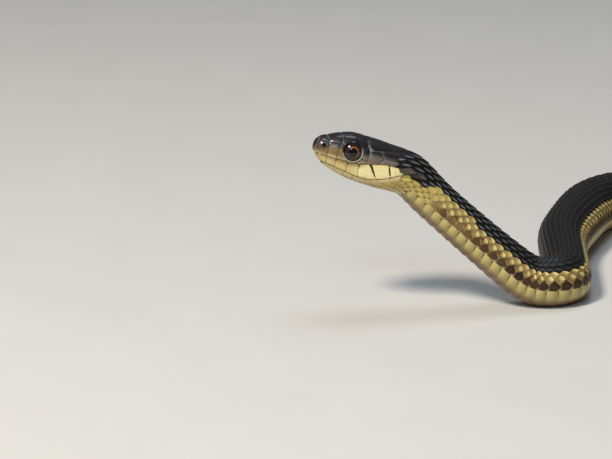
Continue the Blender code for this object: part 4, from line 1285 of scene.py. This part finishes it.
def make_eye_rims(finish):
    """The thin pale edge of the skin round each eye, darker above."""
    stock = Stock()
    outline, turn = eye_outline()
    s, phi = outline.T
    pale = blend(SUTURE_GREY, LIP_YELLOW, 0.25 + 0 * turn)
    colour = blend(pale, CROWN_BLACK, 0.8 * ramp(-0.2, 0.7, np.sin(turn) - 0.25 * np.cos(turn)))
    tints = np.repeat(tinted(colour, 0.0)[:, None], RIM_SIDES, 1)
    angle = np.linspace(0, 2 * np.pi, RIM_SIDES, endpoint=False)
    quads = torus_quads(RIM_TURNS, RIM_SIDES)
    for mirror in (1, -1):
        centre = skin(s, mirror * phi, 0.03)
        out = skin(s, mirror * phi, 1.0) - centre
        out /= np.linalg.norm(out, axis=1)[:, None]
        flat = np.cross(out, np.roll(centre, -1, 0) - np.roll(centre, 1, 0))
        flat /= np.linalg.norm(flat, axis=1)[:, None]
        offset = out[:, None] * np.cos(angle)[None, :, None] + flat[:, None] * np.sin(angle)[None, :, None]
        lengthwise = np.linspace(0.02, 0.98, RIM_TURNS)
        across = np.linspace(0.1, 0.4, RIM_SIDES)
        bake = np.stack(np.meshgrid(lengthwise, across, indexing="ij"), -1)
        bake[..., 1] += 0.5 * (mirror < 0)
        points = centre[:, None] + EYE_RIM_TUBE * offset
        stock.add(points, tints, bake, quads if mirror > 0 else quads[:, ::-1])
    stock.make("eye_rims", finish)


# Finishes
class Link:
    """A socket that Python expressions can be written with."""

    def __init__(self, finish, socket):
        self.finish, self.socket = finish, socket

    def reckon(self, operation, *values):
        """The output of a Math node."""
        return self.finish.node("ShaderNodeMath", {"operation": operation}, dict(enumerate(values)))

    def __add__(self, other):
        return self.reckon("ADD", self, other)

    def __radd__(self, other):
        return self.reckon("ADD", other, self)

    def __sub__(self, other):
        return self.reckon("SUBTRACT", self, other)

    def __rsub__(self, other):
        return self.reckon("SUBTRACT", other, self)

    def __mul__(self, other):
        return self.reckon("MULTIPLY", self, other)

    def __rmul__(self, other):
        return self.reckon("MULTIPLY", other, self)


class Finish:
    """A material and the nodes that feed its shader."""

    def __init__(self, name, **constants):
        self.material = bpy.data.materials.new(name)
        self.material.use_nodes = True
        self.tree = self.material.node_tree
        self.shader = self.tree.nodes["Principled BSDF"]
        self.feed(**constants)

    def feed(self, **sockets):
        """Sets or links sockets of the shader, named in small letters."""
        for name, value in sockets.items():
            self.put(self.shader.inputs[name.replace("_", " ").title().replace("Ior", "IOR")], value)

    def put(self, socket, value):
        """Links a socket or sets its value."""
        if isinstance(value, Link):
            self.tree.links.new(value.socket, socket)
        else:
            socket.default_value = value

    def node(self, kind, settings=None, sockets=None, output=None):
        """A node of any kind: its settings come first, then the values or links of its sockets."""
        node = self.tree.nodes.new(kind)
        for name, value in (settings or {}).items():
            setattr(node, name, value)
        for name, value in (sockets or {}).items():
            found = [i for i in node.inputs if i.name == name and i.enabled]
            self.put(node.inputs[name] if isinstance(name, int) else found[0], value)
        outputs = [o for o in node.outputs if o.enabled and (output is None or o.name == output)]
        return Link(self, outputs[0])

    def mix(self, first, second, share, how="MIX"):
        """A colour between two, or one multiplied by the other."""
        return self.node("ShaderNodeMix", {"data_type": "RGBA", "blend_type": how},
                         {"Factor": share, "A": first, "B": second})

    def tint(self, output="Color"):
        """The piece's own colour, or with Alpha how near a point is to its scale's edge."""
        return self.node("ShaderNodeAttribute", {"attribute_name": "tint"}, output=output)

    def tint_part(self, output):
        """The red, green or blue of the piece's own colour."""
        return self.node("ShaderNodeSeparateColor", {}, {"Color": self.tint()}, output=output)

    def noise(self, size, detail=3.0):
        """Even noise whose grains are about size metres."""
        place = self.node("ShaderNodeTexCoord", output="Object")
        return self.node("ShaderNodeTexNoise", {},
                         {"Vector": place, "Scale": 1 / size, "Detail": detail, "Roughness": 0.5})

    def bump(self, height, distance, strength):
        """A normal for a relief whose full height is distance metres."""
        return self.node("ShaderNodeBump", {}, {"Height": height, "Distance": distance, "Strength": strength})

    def step(self, low, high, value):
        """0 below low, 1 above high, and smooth between."""
        return self.node("ShaderNodeMapRange", {"interpolation_type": "SMOOTHSTEP"},
                         {"Value": value, "From Min": low, "From Max": high})


def mottled(finish, size, amount):
    """The piece's own tint, a little lighter and darker from place to place, and the noise that does it."""
    grain = finish.noise(size, detail=4.0)
    shades = {name: 1 - amount / 2 + amount * grain for name in ("Red", "Green", "Blue")}
    shade = finish.node("ShaderNodeCombineColor", {}, shades)
    return finish.mix(finish.tint(), shade, 1.0, "MULTIPLY"), grain


def shield_finish():
    """Smooth dry horn with a low gloss, very finely pitted."""
    finish = Finish("shield_gloss", specular_ior_level=0.25, coat_roughness=0.08)
    colour, grain = mottled(finish, 0.0006, 0.35)
    speck = finish.step(0.54, 0.68, finish.noise(0.0003, detail=4.0))
    darker = finish.mix(colour, (0.5, 0.42, 0.36, 1), 1.0, "MULTIPLY")
    colour = finish.mix(colour, darker, 0.22 * speck)
    pits = finish.noise(0.00012, detail=2.0)
    finish.feed(base_color=colour, roughness=0.34 + 0.16 * grain, coat_weight=0.6 - 0.4 * grain,
                normal=finish.bump(pits + 2 * grain, 0.00001, 0.5))
    return finish.material


def scale_finish():
    """Dry keeled scales, finely grained and a little duller along their rims."""
    finish = Finish("keeled_scale", specular_ior_level=0.32)
    colour, grain = mottled(finish, 0.0005, 0.4)
    fine = finish.noise(0.00014, detail=2.0)
    rim = finish.tint("Alpha")
    finish.feed(base_color=colour, roughness=0.36 + 0.14 * grain + 0.1 * rim,
                normal=finish.bump(fine + grain, 0.000012, 0.6))
    return finish.material


def belly_finish():
    """Smooth waxy scutes and throat scales."""
    finish = Finish("belly_scute", specular_ior_level=0.45, coat_roughness=0.3)
    colour, grain = mottled(finish, 0.0008, 0.22)
    fine = finish.noise(0.0002, detail=2.0)
    finish.feed(base_color=colour, roughness=0.36 + 0.16 * grain,
                normal=finish.bump(fine + grain, 0.00001, 0.5))
    return finish.material


def skin_finish():
    """Soft matt skin between the scales."""
    finish = Finish("soft_skin", specular_ior_level=0.3)
    colour, grain = mottled(finish, 0.0003, 0.3)
    finish.feed(base_color=colour, roughness=0.55 + 0.2 * grain, normal=finish.bump(grain, 0.00002, 0.6))
    return finish.material


def eye_finish():
    """Round black pupil, a thin gold ring and a dark, faintly mottled iris under a clear glossy scale."""
    finish = Finish("clear_eye", roughness=0.4, specular_ior_level=0.0, coat_weight=1.0, coat_roughness=0.02,
                    coat_ior=1.5)
    far = finish.tint_part("Red") * 2
    wander = far + 0.1 * (finish.noise(0.0002, detail=4.0) - 0.5)
    bright = finish.step(0.85, 1.55, finish.tint_part("Green") + finish.tint_part("Blue"))
    ring = finish.mix(IRIS_RING_DARK, IRIS_RING_GOLD, bright)
    iris = finish.mix(IRIS_BROWN, IRIS_RIM, finish.step(PUPIL_RADIUS + 0.1, EYE_RADIUS, wander))
    iris = finish.mix(ring, iris, finish.step(PUPIL_RADIUS + 0.07, PUPIL_RADIUS + 0.15, wander))
    pupil = finish.step(PUPIL_RADIUS - 0.04, PUPIL_RADIUS + 0.03, wander)
    finish.feed(base_color=finish.mix(EYE_BLACK, iris, pupil))
    return finish.material


def floor_finish():
    """Pale matt studio floor."""
    finish = Finish("pale_floor", specular_ior_level=0.2)
    grain = finish.noise(0.02, detail=3.0)
    colour = finish.mix((0.62, 0.6, 0.565, 1), (0.66, 0.64, 0.605, 1), grain)
    finish.feed(base_color=colour, roughness=0.8 + 0.1 * grain)
    return finish.material


# Stage, lights and camera
VIEW_DOWN = 14.0
CAMERA_AWAY = 600.0
VIEW_WIDTH = 117.7
SENSOR_WIDTH = 36.0
# The place on the spine that lights and camera go by, and the camera's aim from there
HEAD_MIDDLE = 8.0
AIM_SHIFT = (-8.920, 0.918, -13.793)
# Half the floor's width and its level, in metres
FLOOR_HALF = 4.0
FLOOR_LEVEL = -0.00004


def make_stage():
    """A level floor just under the belly."""
    mesh = bpy.data.meshes.new("floor")
    corners = [(x * FLOOR_HALF, y * FLOOR_HALF, FLOOR_LEVEL) for x, y in ((-1, -1), (1, -1), (1, 1), (-1, 1))]
    mesh.from_pydata(corners, [], [(0, 1, 2, 3)])
    mesh.materials.append(floor_finish())
    floor = bpy.data.objects.new("floor", mesh)
    bpy.context.scene.collection.objects.link(floor)


def aim(obj, place, target):
    """Puts a light or camera in place, looking at the target."""
    obj.location = Vector(place)
    obj.rotation_euler = (Vector(target) - Vector(place)).to_track_quat("-Z", "Y").to_euler()


def add_light(name, shift, size, power, colour):
    """A soft round light at a shift from the head, aimed at it."""
    light = bpy.data.lights.new(name, "AREA")
    light.shape, light.size = "DISK", size
    light.energy, light.color = power, colour
    obj = bpy.data.objects.new(name, light)
    bpy.context.scene.collection.objects.link(obj)
    head = spine_at(HEAD_MIDDLE)[0] * MM + OFFSET
    aim(obj, head + np.array(shift), head)


def make_lights():
    """A warm key from the upper left, a cool sky light over the back and a cool window light in front."""
    add_light("key", (-0.3, -0.36, 0.6), 0.17, 5.8, (1.0, 0.94, 0.85))
    add_light("sky", (0.1, 0.25, 0.7), 0.34, 1.4, (0.8, 0.9, 1.0))
    add_light("window", (-0.12, -0.68, 0.54), 0.3, 1.5, (0.6, 0.8, 1.0))
    world = bpy.data.worlds.new("studio")
    world.use_nodes = True
    background = world.node_tree.nodes["Background"].inputs
    background["Color"].default_value = (0.85, 0.9, 1.0, 1)
    background["Strength"].default_value = 0.12
    bpy.context.scene.world = world


def make_camera():
    """The camera looks along +Y, a little down, and frames head and neck as the photograph does."""
    target = (spine_at(HEAD_MIDDLE)[0] + np.array(AIM_SHIFT)) * MM + OFFSET
    down = np.radians(VIEW_DOWN)
    place = target - np.array([0, np.cos(down), -np.sin(down)]) * CAMERA_AWAY * MM
    data = bpy.data.cameras.new("camera")
    data.sensor_width = SENSOR_WIDTH
    data.lens = SENSOR_WIDTH * CAMERA_AWAY / VIEW_WIDTH
    data.clip_start, data.clip_end = 0.01, 20.0
    camera = bpy.data.objects.new("camera", data)
    bpy.context.scene.collection.objects.link(camera)
    aim(camera, place, target)
    bpy.context.scene.camera = camera


bpy.context.scene.view_settings.view_transform = "Standard"
scales, belly = scale_finish(), belly_finish()
make_skin(skin_finish())
make_shields(shield_finish())
make_back_scales(scales)
make_throat_scales(belly)
make_scutes(belly)
eyes = eye_finish()
make_eye("left_eye", 1, eyes, "eye_left")
make_eye("right_eye", -1, eyes, "eye_right")
make_eye_rims(shield_finish())
make_stage()
make_lights()
make_camera()
